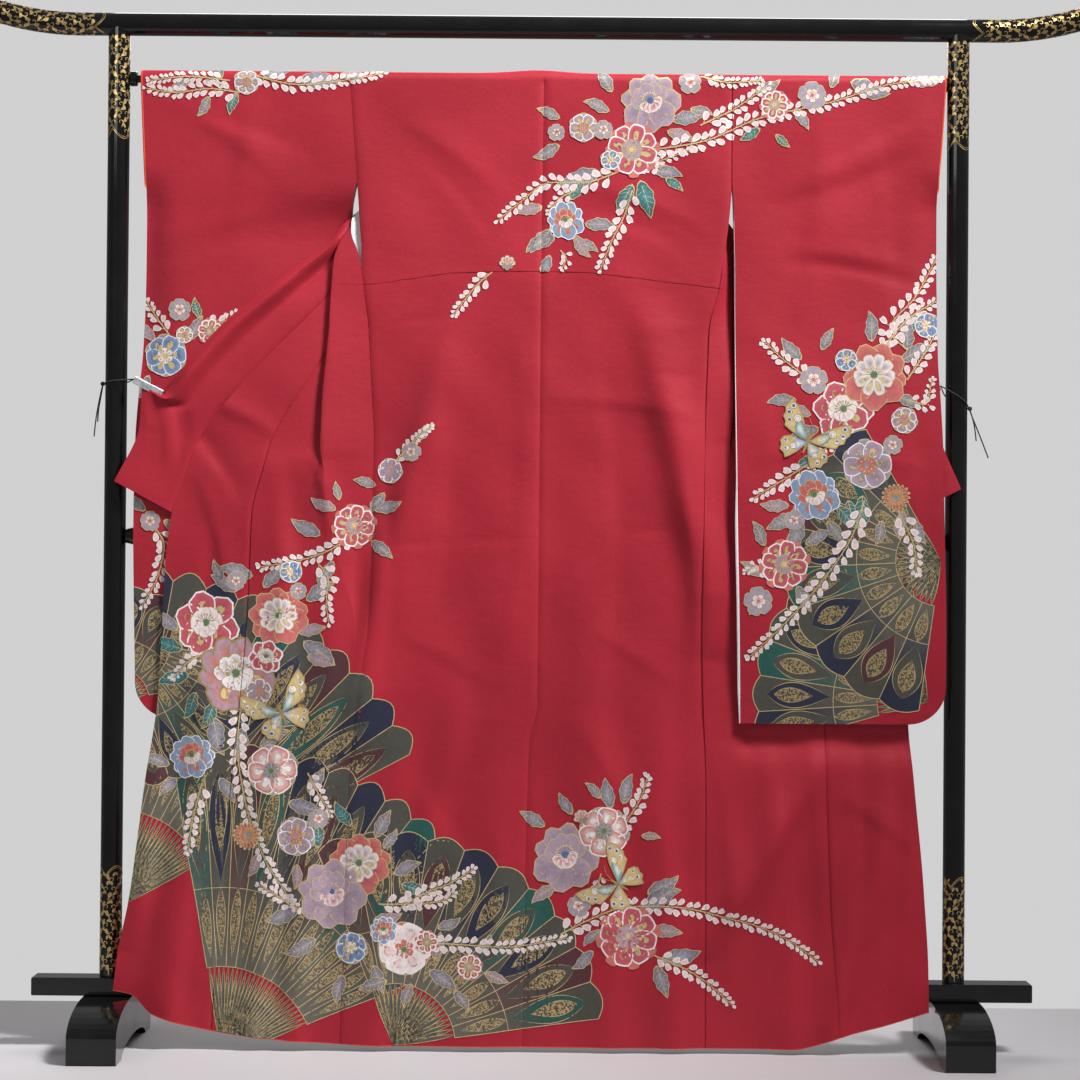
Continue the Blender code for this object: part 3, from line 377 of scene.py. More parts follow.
# Creases listed for each panel: both ends of the line, how far it stands out (a trough is less than
# nothing) and its half width. Each fades to its ends.
CREASES = {
    "back": rows_of("""
    -250 1560 -40 1400 0.9 16, -210 1500 -60 1330 -0.8 14, 60 1440 300 1360 1 15, 60 1400 260 1330 -0.8 12
    250 1590 120 1330 0.9 18, -262 1198 -120 1214 -0.4 7, 285 1215 150 1200 0.4 9
    280 1120 170 1128 -0.4 8, -262 823 -140 842 -0.55 6, -156 836 8 842 -0.5 6, 142 845 226 866 -0.6 6
    76 790 116 852 -0.45 7, 12 648 40 752 -0.6 8, -128 676 -78 726 -0.4 7, 10 1080 275 1050 1 14
    -150 1150 -165 700 -1.4 22, -30 1220 -45 640 1.3 20, 110 1200 120 500 -1.6 24, 215 1120 262 560 1.8 20
    250 1000 268 480 -1.8 12, -252 1000 -262 520 -1.6 12, 90 700 240 600 1 16, -230 690 -60 600 0.9 16
    20 300 260 250 1.2 16, 60 560 190 330 1.2 18, -200 480 -60 220 -1.4 22, 140 420 150 20 -2 20
    30 330 20 20 2 22, -60 380 -75 20 1.8 18
    """),
    "front_left": rows_of("""
    -345 1240 -352 960 1.6 12, -300 930 -318 500 -1.8 16, -395 1090 -335 800 1.8 14
    -420 1040 -400 640 -1.8 18, -440 980 -430 560 1.6 16, -350 470 -362 40 -2.2 18, -400 440 -412 40 2 16
    -480 420 -492 60 -1.8 14
    """),
    "overlap_left": rows_of("""
    -590 1090 -420 1010 1.8 12, -600 1060 -480 900 -2 14, -560 960 -500 700 1.8 14
    -530 900 -580 620 -1.6 16, -600 700 -540 520 1.6 16, -640 520 -560 360 -1.4 16
    -520 420 -560 80 1.8 18, -620 420 -650 120 -1.8 16
    """),
    "collar_left": rows_of("""
    -650 1122 -634 1000 -1 9, -628 1116 -610 950 0.9 10, -606 1112 -584 925 -1.2 13
    -578 1090 -560 975 0.7 12
    """),
    "front_right": rows_of("""
    300 520 320 30 1.8 14, 400 560 395 60 -2.2 20, 450 560 470 60 1.8 16, 340 900 360 600 -1.6 20
    """),
    "overlap_right": rows_of("""
    540 560 520 60 -2 18, 610 540 600 100 1.8 14, 500 430 640 330 1.2 14
    """),
    "sleeve_left": rows_of("""
    -640 1590 -420 1440 1.1 18, -600 1560 -370 1480 -1 16, -480 1600 -520 1300 1.2 22
    -640 1330 -400 1390 1.4 14, -640 1300 -420 1350 -1.2 14, -600 1250 -620 900 1.4 20
    -640 860 -560 700 0.8 16
    """),
    "sleeve_right": rows_of("""
    660 1560 430 1440 1.2 18, 640 1500 380 1400 -1.2 18, 470 1600 430 1150 1.4 26
    570 1560 600 1150 -1.2 24, 400 1330 650 1290 1 12, 400 1310 650 1268 -1 12, 380 1180 420 640 -1.4 24
    480 1100 500 600 1.2 28, 620 1120 640 640 -1.2 20, 350 985 670 965 0.8 10
    """),
}
RIPPLE = 0.32
COLLAR_ROLL = 12.5

# The tuck sewn across the back: its line, how far the cloth above it stands proud and how it fades
BACK_TUCK = {
    "x": (-335, -279, -261, -147, -85, 6, 83, 158, 300),
    "z": (1268, 1268, 1270, 1288, 1291, 1292, 1291, 1283, 1266),
}
BACK_TUCK_Z = 1292.0
TUCK_SPREAD = 60.0
TUCK_PROUD = 0.8
TUCK_FADE = 16.0

# Grid of the panels: the step between rows, the columns of a front and those at its fold and its tuck, the
# rows over the rail, their first half, and the rows near the neck and near the sleeves' bottom
ROW_STEP = 7.5
FRONT_COUNT = 41
FOLD_AT = 12
TUCK_AT = 26
OVER_ROWS = 16
OVER_HALF = OVER_ROWS // 2 + 1
NEAR_NECK_Z = (1607, 1604, 1601, 1598, 1594, 1590, 1585, 1580, 1573)
NEAR_BOTTOM_Z = (545, 545.8, 547, 549, 552, 556, 561, 567)

# Where shares begin to grow, and over what distance: downwards, but upwards for the collar roll's end
FADES = {
    "rail": (RAIL_Z, 60), "front_creases": (1180, 200), "open_legs": (1000, 60), "front_tuck": (1330, 20),
    "overlap_creases": (1240, 150), "roll_top": (1365, 60), "roll_end": (960, 120),
    "sewn_cuff": (CUFF_Z + 70, 80),
}

# The run along a panel that is folded over the rail, at its front: this less the height there
FRONT_RUN = 2 * RAIL_Z + OVER_RAIL_R * math.pi

# Seams: how deep a sewn edge sinks and how wide the groove is. The collar's parts: name, top and bottom
SEAM_ROLL = 1.9
SEAM_ROLL_WIDTH = 3.2
COLLAR_PARTS = (("collar_cover_", RAIL_Z, COVER_END_Z), ("collar_", COVER_END_Z - 0.3, COLLAR_END_Z))

# Rolled edgings and the lining that shows: widths, the cuffs' lower end and the white lining's lower end
EDGING_WIDTH = 3.0
HEM_EDGING_WIDTH = 1.5
CUFF_EDGING_Z = 1425.0
INNER_EDGE = {"z": (545, 600, 880, 950, 1250, 1390), "width": (2, 5, 5.4, 2.4, 0.7, 0.6)}
LINING_EDGE_Z = 520.0

# The dye: the height below which it lies on the fronts, and how far each layer stands off the last. Then the
# layer of each kind of motif, with the step to the next of its kind
FRONT_OPEN_Z = 954.0
LAYER_STEP = 0.042
FAN_STEP = 2.2
LEAF_LAYER, LEAF_STEP = 9.0, 0.4
STRAND_LAYER, STRAND_STEP = 11.0, 0.6
FLOWER_LAYER, FLOWER_STEP = 12.6, 4.8
BUTTERFLY_LAYER = 28.0

# Steps of the drawn shapes, and the space between the buds of a strand as a share of their size
BLOB_STEP = 7.0
PATCH_STEP = 6.5
BUD_PITCH = 1.0

# Sheets: flat size in metres, area, what they hang on and the starts of the names of what is on them
CUTS = {
    "body_silk": ((0.32, 3.32), 0.85, "hanging_rail", (
        "dyed_yoke_", "dyed_skirt_", "dyed_front_", "hem_edge_back_", "hem_edge_front_")),
    "overlap_silk": ((0.15, 1.48), 0.17, "body_silk_{}", ("dyed_overlap_", "hem_edge_overlap_")),
    "collar_cover_silk": ((0.055, 0.47), 0.0235, "body_silk_{}", ()),
    "collar_silk": ((0.095, 0.56), 0.049, "overlap_silk_{}", ()),
    "sleeve_silk": ((0.36, 2.21), 0.77, "hanging_rail", (
        "dyed_sleeve_", "cuff_edge_", "sleeve_lining_edge_")),
}

# Gold scrollwork: units round a bar, their pitch along it and their lift off it. A petal of a unit: place,
# length, width and heading. A band: its bar, its plain end and its scalloped end
SCROLL_AROUND = 6
SCROLL_PITCH = 15.0
SCROLL_LIFT = 0.16
SCROLL_PETALS = ((1.5, -3.0, 10.5, 6.2, 1.3), (-4.8, 3.4, 8.0, 4.6, 2.3), (5.4, 4.6, 6.5, 3.6, 0.4))
TOP_RAIL = {"z": 1701.0, "radius": 19.0, "bend": 765.0, "rise": 37.0, "span": 185.0}
POST_X = 700.0
POST_RADIUS = 18.2
BANDS = (
    ("post_left", 1680, 1508), ("post_right", 1680, 1500), ("post_left", 122, 300), ("post_right", 122, 292),
    ("rail_left", -950, -722), ("rail_right", 950, 722),
)

CORD_R = 1.1
TAILS = {
    "tie_tail_left_1": ((-723, -2, 1095.9), (-728, -4, 1070), (-733, -3, 1040), (-736, -2, 1012)),
    "tie_tail_left_2": ((-723, 1.8, 1095.9), (-727, 5, 1075), (-730, 4, 1055), (-731, 3, 1037)),
    "tie_tail_right_1": ((723, -2, 1065.9), (728, -4, 1048), (731, -3, 1032), (733, -2, 1016)),
    "tie_tail_right_2": ((723, 1.8, 1065.9), (734, 5, 1040), (745, 4, 1012), (754, 3, 988)),
}

# Finishes
WHITE = (1.0, 1.0, 1.0)
SHEEN_COLOUR = (1.0, 0.6, 0.64)
DUST_COLOUR = (0.05, 0.05, 0.052)
FLOOR_COLOUR = (0.56, 0.54, 0.56)
FLOOR_CORNERS = ((-1700, -900), (1700, -900), (1700, 490), (-1700, 490))

# Camera: place in metres, pitch in degrees, roll in radians and lens. World: colour, strength, and strength
# as the camera sees it. Lights: name, place, target, size, power and spread in degrees
CAMERA_PLACE = (0.008, -4.7, 0.78)
CAMERA_PITCH = 0.8
CAMERA_ROLL = 0.0079
CAMERA_LENS = 94.1
WORLD_COLOUR = (0.92, 0.92, 0.93)
WORLD_STRENGTH = 0.2
WORLD_SEEN = 0.69
LIGHTS = (
    ("key", (2.2, -1.7, 4.5), (-0.3, 0, 1.2), (1.0, 1.0), 38.5, 54.0),
    ("side", (-2.2, -2.8, 2.6), (-0.3, 0, 1.2), (1.4, 1.2), 20.0, 180.0),
    ("back", (0, 1.8, 2.6), (0, 0, 0.9), (2.0, 1.4), 30.0, 180.0),
)


def curve(xs, ys, at):
    """A smooth curve through points that keeps their rises and falls (monotone cubic).

    The slope at a point is the weighted harmonic mean of its neighbours' slopes, and none where they
    disagree. The points may carry further axes.
    """
    xs, ys, at = (np.asarray(v, float) for v in (xs, ys, at))
    order = np.argsort(xs)
    xs, ys = xs[order], ys[order]
    wide = (slice(None),) + (None,) * (ys.ndim - 1)
    steps = np.diff(xs)[wide]
    slopes = np.diff(ys, axis=0) / steps
    same = slopes[1:] * slopes[:-1] > 0
    left, right = 2 * steps[1:] + steps[:-1], steps[1:] + 2 * steps[:-1]
    safe = np.where(same, slopes[:-1], 1), np.where(same, slopes[1:], 1)
    inner = np.where(same, (left + right) / (left / safe[0] + right / safe[1]), 0)
    tangents = np.concatenate([slopes[:1], inner, slopes[-1:]])
    flat = np.clip(at.ravel(), xs[0], xs[-1])
    cell = np.clip(np.searchsorted(xs, flat) - 1, 0, len(xs) - 2)
    step = steps[cell]
    t = (flat - xs[cell])[wide] / step
    rise = step * (tangents[cell] * (t - 2 * t**2 + t**3) + tangents[cell + 1] * (t**3 - t**2))
    out = ys[cell] * (1 - 3 * t**2 + 2 * t**3) + ys[cell + 1] * (3 * t**2 - 2 * t**3) + rise
    return out.reshape(at.shape + ys.shape[1:])


def below(z, top, over):
    """A share that grows from 0 at a height to 1 at a distance below it."""
    return np.clip((top - z) / over, 0, 1)


def above(z, low, over):
    """A share that grows from 0 at a height to 1 at a distance above it."""
    return np.clip((z - low) / over, 0, 1)


def table(lines, names, wanted, z):
    """One column of a table at given heights, on a smooth curve through its rows."""
    lines = np.array(lines, float)
    return curve(lines[:, 0], lines[:, names.index(wanted)], z)


def fold_out(x, z):
    """How far the large folds stand out, less the hollows: each fold an uneven bell across its crest."""
    out = np.zeros(np.broadcast(x, z).shape)
    z = z + 0 * out
    for height, left, right, *crest in FOLDS:
        crest = np.reshape(crest, (-1, 2))
        top, low = crest[0, 1], crest[-1, 1]
        along = below(z, top, top - low)
        across = x - curve(crest[:, 1], crest[:, 0], z)
        bell = np.exp(-((across / np.where(across < 0, left, right)) ** 2))
        fade = above(z, low, 110) ** 0.8 if low > 120 else 1.0
        out = out + FOLD_SCALE * height * bell * np.sin(np.pi / 2 * np.clip(along * 2.2, 0, 1)) ** 1.3 * fade
    for start, stop, height, half, depth in HOLLOWS:
        inside = above(x, start, 30) * below(x, stop, 30)
        out = out - depth * inside * np.exp(-(((z - height) / half) ** 2))
    return out


def creased(panel, x, z):
    """How far the creases and the slight unevenness of a panel stand out.

    A crease is a bell across its line times a half sine along it, leaning a little to one side. The
    unevenness is a sum of three slow waves that cross each other.
    """
    depth = bpy.context.scene.furisode_cloth.crease_depth
    out = RIPPLE * (
        np.sin(x / 31 + z / 83)
        + 0.8 * np.sin(x / 57 - z / 41 + 1.3)
        + 0.6 * np.sin(x / 23 + z / 29 + 2.1 * np.sin(z / 170))
    )
    for x0, z0, x1, z1, height, half in CREASES.get(panel, ()):
        length = math.hypot(x1 - x0, z1 - z0)
        ux, uz = (x1 - x0) / length, (z1 - z0) / length
        along = ((x - x0) * ux + (z - z0) * uz) / length
        bow = 0.04 * length * np.sin(np.pi * along)
        across = ((x - x0) * uz - (z - z0) * ux + bow) / half
        lean = across * (1 + 0.35 * np.tanh(across))
        out = out + height * np.exp(-(lean**2)) * np.sin(np.pi * np.clip(along, 0, 1)) ** 0.8
    return depth * out


def hang(points, panel=None, out_sign=-1):
    """Gives skirt points their folds, their creases and their share of the hem's rise towards the corners."""
    x, y, z = points[..., 0], points[..., 1], points[..., 2]
    share = below(z, HEM_LIFT_TOP, HEM_LIFT_TOP - HEM_Z) ** 1.5
    lifted = z + share * curve(HEM_LIFT["x"], HEM_LIFT["z"], x)
    y = y - fold_out(x, z)
    if panel:
        y = y + out_sign * creased(panel, x, z)
    rail = MIDDLE_RAIL_R**2 - (z - MIDDLE_RAIL_Z) ** 2
    clear = -RAIL_CLEAR - np.sqrt(np.clip(rail, 0, None))
    y = np.where((rail > 0) & (np.abs(x) < MIDDLE_RAIL_END), np.minimum(y, clear), y)
    return np.stack([x, y, lifted], axis=-1)


def shoulder_edge(side, z):
    """The straight seam of body and sleeve."""
    return np.interp(z, SHOULDER_EDGE[side]["z"], SHOULDER_EDGE[side]["x"])


def turn_points(start, corner, end):
    """Three points round a turn of the cloth, seen from above: before it, at its tip and after it.

    Where the cloth turns back on itself its two legs are set apart far enough for its wall to pass.
    """
    first, second = corner - start, end - corner
    one, two = (np.linalg.norm(leg, axis=-1, keepdims=True) for leg in (first, second))
    first, second = first / one, second / two
    back = np.clip(-np.sum(first * second, axis=-1, keepdims=True), 0, 1)
    lift = TURN_HALF * back
    spread = (1 - back) * np.minimum(TURN_SPREAD, TURN_SHARE * np.minimum(one, two))
    apart = np.concatenate([0 * lift, lift], axis=-1)
    return corner - first * spread - apart, corner + first * lift, corner + second * spread + apart


def front_places(side, z):
    """Points across a front on a smooth line: out to its fold, back to its tuck and out to the overlap."""
    at = {name: table(WINGS[side], WING_COLUMNS, name, z) for name in WING_COLUMNS[1:]}
    at["side"] = np.where(z >= ARMHOLE_Z, shoulder_edge(side, z), at["side"])
    edge, fold, tuck, seam = (np.stack([at[k], at[k + "_y"]], -1) for k in ("side", "fold", "tuck", "seam"))
    out, back = turn_points(edge, fold, tuck), turn_points(fold, tuck, seam)
    start, end = edge + (out[0] - edge) * 0.03, seam + (back[2] - seam) * 0.03
    middles = (edge + out[0]) / 2, (out[2] + back[0]) / 2, (back[2] + seam) / 2
    stations = np.stack([edge, start, middles[0], *out, middles[1], *back, middles[2], end, seam])
    counts = np.array((2, 4, 4, 2, 2, 5, 5, 2, 2, 5, 5, 2))
    places = np.interp(np.arange(counts.sum() + 1), np.concatenate([[0], np.cumsum(counts)]), np.arange(13))
    fine = curve(np.arange(13), stations, places).transpose(1, 0, 2)
    return np.stack([fine[..., 0], fine[..., 1], z[:, None] + 0 * fine[..., 0]], axis=-1)


def edge_shares(count, fine=0.01):
    """Even shares from 0 to 1 with two close ones at each end, for the roll of a seam."""
    inner = np.linspace(3 * fine, 1 - 3 * fine, count - 4)
    return np.concatenate([[0, fine], inner, [1 - fine, 1]])


def seam_roll(points, outward, sides=("start", "end")):
    """Sinks the sewn edges of a panel a little, so that a seam lies in a fine groove.

    The sink falls off as a bell with the distance from the edge.
    """
    for name in sides:
        edge = points[:, :1] if name == "start" else points[:, -1:]
        away = np.linalg.norm(points - edge, axis=-1, keepdims=True)
        points = points - outward * SEAM_ROLL * np.exp(-((away / SEAM_ROLL_WIDTH) ** 2))
    return points


def tuck_shift(x, z, weight=1.0):
    """The rise or fall of a row so that the rows near the tuck follow its line."""
    line = np.interp(x, BACK_TUCK["x"], BACK_TUCK["z"]) - BACK_TUCK_Z
    return weight * line * np.exp(-(((z - BACK_TUCK_Z) / TUCK_SPREAD) ** 2))


def tuck_proud(x, z):
    """How far the cloth stands out at the tuck: proud above its line, fading upward, and none below.

    The stitches pull unevenly, and less toward both ends.
    """
    away = np.abs(z - BACK_TUCK_Z)
    pull = (0.75 + 0.25 * np.sin(x / 9.0 + 2.2 * np.sin(x / 31.0))) * np.exp(-((x / 270) ** 4) * 0.7)
    return pull * np.where(z >= BACK_TUCK_Z, TUCK_PROUD * np.exp(-away / TUCK_FADE), -0.3 * np.exp(-away / 4))


def skirt_heights(top, bottom):
    """Row heights from top to bottom, closer at the tuck."""
    rows = np.linspace(top, bottom, int((top - bottom) / ROW_STEP) + 1)
    close = BACK_TUCK_Z + np.array((6, 2.5, 0.9, 0.05, -0.35, -1.6, -4))
    keep = np.abs(rows - BACK_TUCK_Z) > 7
    rows = np.concatenate([rows[keep], close[(close < top) & (close > bottom)]])
    return np.sort(rows)[::-1]


def normals_of(grid):
    """Unit normals of a grid: the cross product of its directions along the rows and the columns."""
    normals = np.cross(np.gradient(grid, axis=0), np.gradient(grid, axis=1))
    return normals / np.maximum(np.linalg.norm(normals, axis=-1, keepdims=True), 1e-9)


def over_rail(x, rise=0.0):
    """The half circle of cloth over the rail, row by row, and the length run at each row.

    The rise is added to the radius upward.
    """
    turned = np.pi * np.arange(1, OVER_ROWS + 1)[:, None] / (OVER_ROWS + 1)
    y = -OVER_RAIL_R * np.cos(turned) + 0 * x
    z = RAIL_Z + (OVER_RAIL_R + rise) * np.sin(turned) + 0 * x
    return np.stack([x + 0 * y, y, z], axis=-1), RAIL_Z + OVER_RAIL_R * turned[:, 0]


def body_sheet(side):
    """One body length from the back hem over the rail to the front hem, its side edge first in each row.

    Returns the grid, its outward normals and the length run along it from the floor, row by row. The back is
    a straight blend between its side edge and the centre seam, and the rail turn is a half circle.
    """
    heights = skirt_heights(RAIL_Z, HEM_Z)[::-1]
    z = heights[:, None]
    share = edge_shares(FRONT_COUNT, 0.008)
    yoke = curve(YOKE_EDGE[side]["z"], YOKE_EDGE[side]["x"], z)
    edge = np.where(z > UNDERARM_Z, yoke, table(WINGS[side], WING_COLUMNS, "side", z))
    edge = np.where(z >= ARMHOLE_Z, shoulder_edge(side, z), edge)
    centre = curve(CENTRE_SEAM["z"], CENTRE_SEAM["x"], z)
    x = edge + (centre - edge) * share
    depth = curve(YOKE_DEPTH["z"], YOKE_DEPTH["y"], z)
    y = np.where(z > UNDERARM_Z, depth, table(WINGS[side], WING_COLUMNS, "side_y", z)) + 0 * x
    fade = below(z, *FADES["rail"])
    back = np.stack([x, y, z + 0 * x], axis=-1)
    hung = hang(back, "back")
    hung[..., 1] = back[..., 1] + (hung[..., 1] - back[..., 1]) * fade - tuck_proud(x, z)
    hung[..., 2] += tuck_shift(x, z)
    hung = seam_roll(hung, np.array((0, -1, 0)))
    top_x = hung[-1, :, 0]
    over, over_run = over_rail(top_x, NECK_RISE * np.exp(-((top_x / NECK_RISE_WIDTH) ** 2)))

    front_z = np.concatenate([[RAIL_Z - 0.1], NEAR_NECK_Z, skirt_heights(1566, HEM_Z)])
    front = hang(front_places(side, front_z))
    z = front_z[:, None]
    facing = np.ones(FRONT_COUNT)
    facing[FOLD_AT:TUCK_AT] = -1
    crease = creased("front_" + WORDS[side], front[..., 0], front[..., 2]) * below(z, *FADES["front_creases"])
    open_legs = below(z, *FADES["open_legs"])
    front[..., 1] -= crease * np.where(facing > 0, 1, open_legs) * (0.35 + 0.65 * open_legs)
    first_leg = (np.arange(FRONT_COUNT) <= FOLD_AT - 2) * below(z, *FADES["front_tuck"])
    front[..., 1] -= tuck_proud(front[..., 0], z) * first_leg * 0.8
    front[..., 2] += tuck_shift(front[..., 0], z, first_leg)

    grid = np.concatenate([hung, over, front])
    return grid, side * normals_of(grid), np.concatenate([heights, over_run, FRONT_RUN - front_z])


def overlap_sheet(side, top=OVERLAP_TOP_Z):
    """The overlap panel: a straight blend from its seam with the front to the collar or its free edge."""
    heights = skirt_heights(top, HEM_Z)
    z = heights[:, None]
    ends = [table(WINGS[side], WING_COLUMNS, name, z) for name in ("seam", "seam_y", "edge", "edge_y")]
    share = edge_shares(26, 0.012)
    x = ends[0] + (ends[2] - ends[0]) * share
    y = ends[1] + (ends[3] - ends[1]) * share
    points = hang(np.stack([x, y, z + 0 * x], axis=-1))
    crease = creased("overlap_" + WORDS[side], points[..., 0], points[..., 2])
    points[..., 1] -= crease * below(z, *FADES["overlap_creases"])
    points = seam_roll(points, np.array((0, -1, 0)), ("start",))
    return points, side * normals_of(points), heights


def collar_sheet(side, top, bottom):
    """The collar from its sewn edge to its folded edge: a straight blend with a slight crown across it.

    Where it is turned out, the left collar rolls: a bell near its free edge stands out, with a shallower
    hollow beside it.
    """
    z = np.concatenate([[RAIL_Z], NEAR_NECK_Z, np.arange(1566, 885, -6.0), [886]])
    z = z[(z <= top) & (z >= bottom)]
    z = np.unique(np.concatenate([z, [top, bottom]]))[::-1]
    ends = [table(WINGS[side], WING_COLUMNS, name, z) for name in ("edge", "edge_y")]
    sewn = hang(np.stack([*ends, z], axis=-1))
    free = np.stack([table(COLLARS[side], COLLAR_EDGE_COLUMNS, name, z) for name in "xyz"], axis=-1)
    reach = free - sewn
    unit = reach / np.linalg.norm(reach, axis=-1, keepdims=True)
    sewn = sewn + unit * np.where(z > 1450, NECK_EASE, 0)[:, None]
    share = edge_shares(22, 0.02)[:, None]
    points = sewn[:, None] + (free - sewn)[:, None] * share
    outward = side * normals_of(points)
    points = points + outward * 1.6 * np.sin(np.pi * share) ** 0.7
    if side < 0:
        rolled = COLLAR_ROLL * below(z, *FADES["roll_top"]) * above(z, *FADES["roll_end"])
        bell = np.exp(-(((share - 0.84) / 0.13) ** 2)) - 0.35 * np.exp(-(((share - 0.55) / 0.1) ** 2))
        points = points + outward * rolled[:, None, None] * bell
        gathers = creased("collar_left", points[..., 0], points[..., 2])
        points[..., 1] -= gathers * np.clip(share * 5, 0, 1)[..., 0]
    points = seam_roll(points, outward, ("start",))
    return points, side * normals_of(points), z


def sleeve_sheet(side):
    """One sleeve from the back of its bottom edge over the rail to the front of it, inner edge first.

    Its two layers lie either side of a middle depth. They meet along the sewn outer edge below the cuff and
    along the bottom, opening away from it as one less a bell.
    """
    heights = np.concatenate([NEAR_BOTTOM_Z, np.arange(574, RAIL_Z - 1, ROW_STEP), [RAIL_Z]])
    z = heights[:, None]
    share = edge_shares(44, 0.006)
    at = {name: table(SLEEVES[side], SLEEVE_COLUMNS, name, z) for name in SLEEVE_COLUMNS[1:]}
    lower = np.clip(SLEEVE_BOTTOM + SLEEVE_CORNER - z, 0, None)
    outer = at["outer"] - side * (SLEEVE_CORNER - np.sqrt(np.clip(SLEEVE_CORNER**2 - lower**2, 0, None)))
    inner = np.where(z >= ARMHOLE_Z, shoulder_edge(side, z), at["inner"])
    x = inner + (outer - inner) * share
    middle = {end: (at["back" + end] + at["front" + end]) / 2 for end in ("_in", "_out")}
    half = {end: (at["front" + end] - at["back" + end]) / 2 for end in ("_in", "_out")}
    over = 1 - (1 - share) ** (2 if side < 0 else 1)
    centre = middle["_in"] + (middle["_out"] - middle["_in"]) * over
    apart = half["_in"] + (half["_out"] - half["_in"]) * over
    sewn = below(z, *FADES["sewn_cuff"])
    full = 1 - sewn**2 * (3 - 2 * sewn) * np.exp(-((np.abs(outer - x) / 30) ** 2))
    apart = LAYER_GAP + (apart - LAYER_GAP) * full
    apart = LAYER_GAP + (apart - LAYER_GAP) * (1 - np.exp(-(((z - SLEEVE_BOTTOM) / 40) ** 2)))
    fade = below(z, *FADES["rail"]) * np.clip(np.abs(outer - x) / 25, 0, 1)
    room = 0.35 if side < 0 else 1.0
    layers = []
    for sign in (-1, 1):
        crease = creased("sleeve_" + WORDS[side], x, z + 0 * x + (0 if sign < 0 else 70)) * fade
        thin = np.clip(apart / 6, 0, 1) if sign > 0 else np.clip((z - 1300) / 150, room, 1)
        y = centre + sign * (apart + crease * thin)
        layers.append(np.stack([x, y, z + 0 * x], axis=-1))
    over, over_run = over_rail(x[-1])
    grid = np.concatenate([layers[0], over, layers[1][::-1][1:]])
    return grid, -side * normals_of(grid), np.concatenate([heights, over_run, FRONT_RUN - heights[::-1][1:]])


def put_mesh(name, points, faces, material_index=None):
    """Makes an object from points in millimetres and faces of three or four corners, shaded smooth."""
    mesh = bpy.data.meshes.new(name)
    faces = [np.asarray(f, np.int32) for f in faces if len(f)]
    sizes = np.concatenate([np.full(len(f), f.shape[1], np.int32) for f in faces])
    corners = np.concatenate([f.ravel() for f in faces])
    mesh.vertices.add(len(points))
    mesh.vertices.foreach_set("co", (np.asarray(points, float) * MM).ravel())
    mesh.loops.add(len(corners))
    mesh.loops.foreach_set("vertex_index", corners)
    mesh.polygons.add(len(sizes))
    mesh.polygons.foreach_set("loop_start", np.concatenate([[0], np.cumsum(sizes)[:-1]]).astype(np.int32))
    if material_index is not None:
        mesh.polygons.foreach_set("material_index", material_index)
    mesh.update(calc_edges=True)
    mesh.validate()
    mesh.shade_smooth()
    made = bpy.data.objects.new(name, mesh)
    bpy.context.scene.collection.objects.link(made)
    return made


def grid_faces(rows, columns, closed=False):
    """Corner numbers of a grid's quads, row by row. A closed grid's last column joins its first."""
    r, c = np.meshgrid(np.arange(rows - 1), np.arange(columns if closed else columns - 1), indexing="ij")
    here, low, d = r * columns, (r + 1) * columns, (c + 1) % columns
    return np.stack([here + c, low + c, low + d, here + d], -1).reshape(-1, 4)


def cloth_shell(name, grid, outward, thick, materials, sharp=50):
    """A closed thin shell: the grid moved half its thickness out and in along its normals, and a rim.

    The first material is the outer face and the rim, the second is the inner face.
    """
    rows, columns = grid.shape[:2]
    count = rows * columns
    points = np.concatenate([(grid + outward * sign * thick / 2).reshape(-1, 3) for sign in (1, -1)])
    quads = grid_faces(rows, columns)
    across = np.cross(np.gradient(grid, axis=0), np.gradient(grid, axis=1))
    along = np.sum(across * outward) > 0
    outer = quads if along else quads[:, ::-1]
    inner = (quads[:, ::-1] if along else quads) + count
    numbers = np.arange(count).reshape(rows, columns)
    loop = np.concatenate([numbers[:, 0], numbers[-1, 1:], numbers[-2::-1, -1], numbers[0, -2:0:-1]])
    after = np.roll(loop, -1)
    rim = np.stack([after, loop, loop + count, after + count], -1)
    rim = rim if along else rim[:, ::-1]
    index = np.concatenate([np.zeros(len(outer)), np.ones(len(inner)), np.zeros(len(rim))]).astype(np.int32)
    made = put_mesh(name, points, [np.concatenate([outer, inner, rim])], index)
    made.data.set_sharp_from_angle(angle=math.radians(sharp))
    for finish in materials:
        made.data.materials.append(finish)
    return made


def strip(name, edge, out, width, thick, material):
    """A rolled edging: an oval cross-section carried along an edge, its middle half its width beyond it."""
    along = np.gradient(edge, axis=0)
    along /= np.linalg.norm(along, axis=-1, keepdims=True)
    out = np.array(out, float) + 0 * edge
    up = np.cross(along, out)
    angle = np.linspace(0, 2 * np.pi, 9)[:-1]
    width = np.broadcast_to(width, (len(edge),))[:, None]
    centre = edge + out * (width * 0.35)
    points = (
        centre[:, None]
        + out[:, None] * (np.cos(angle) * width * 0.55)[:, :, None]
        + up[:, None] * (np.sin(angle) * thick / 2)[None, :, None]
    )
    last = 8 * (len(edge) - 1)
    ends = np.concatenate([centre[:1], centre[-1:]])
    k = np.arange(8)
    start = np.stack([np.full(8, last + 8), (k + 1) % 8, k], -1)
    stop = np.stack([np.full(8, last + 9), last + k, last + (k + 1) % 8], -1)
    quads = grid_faces(len(edge), 8, closed=True)
    made = put_mesh(name, np.concatenate([points.reshape(-1, 3), ends]), [quads, start, stop])
    made.data.flip_normals()
    made.data.materials.append(material)
    return made


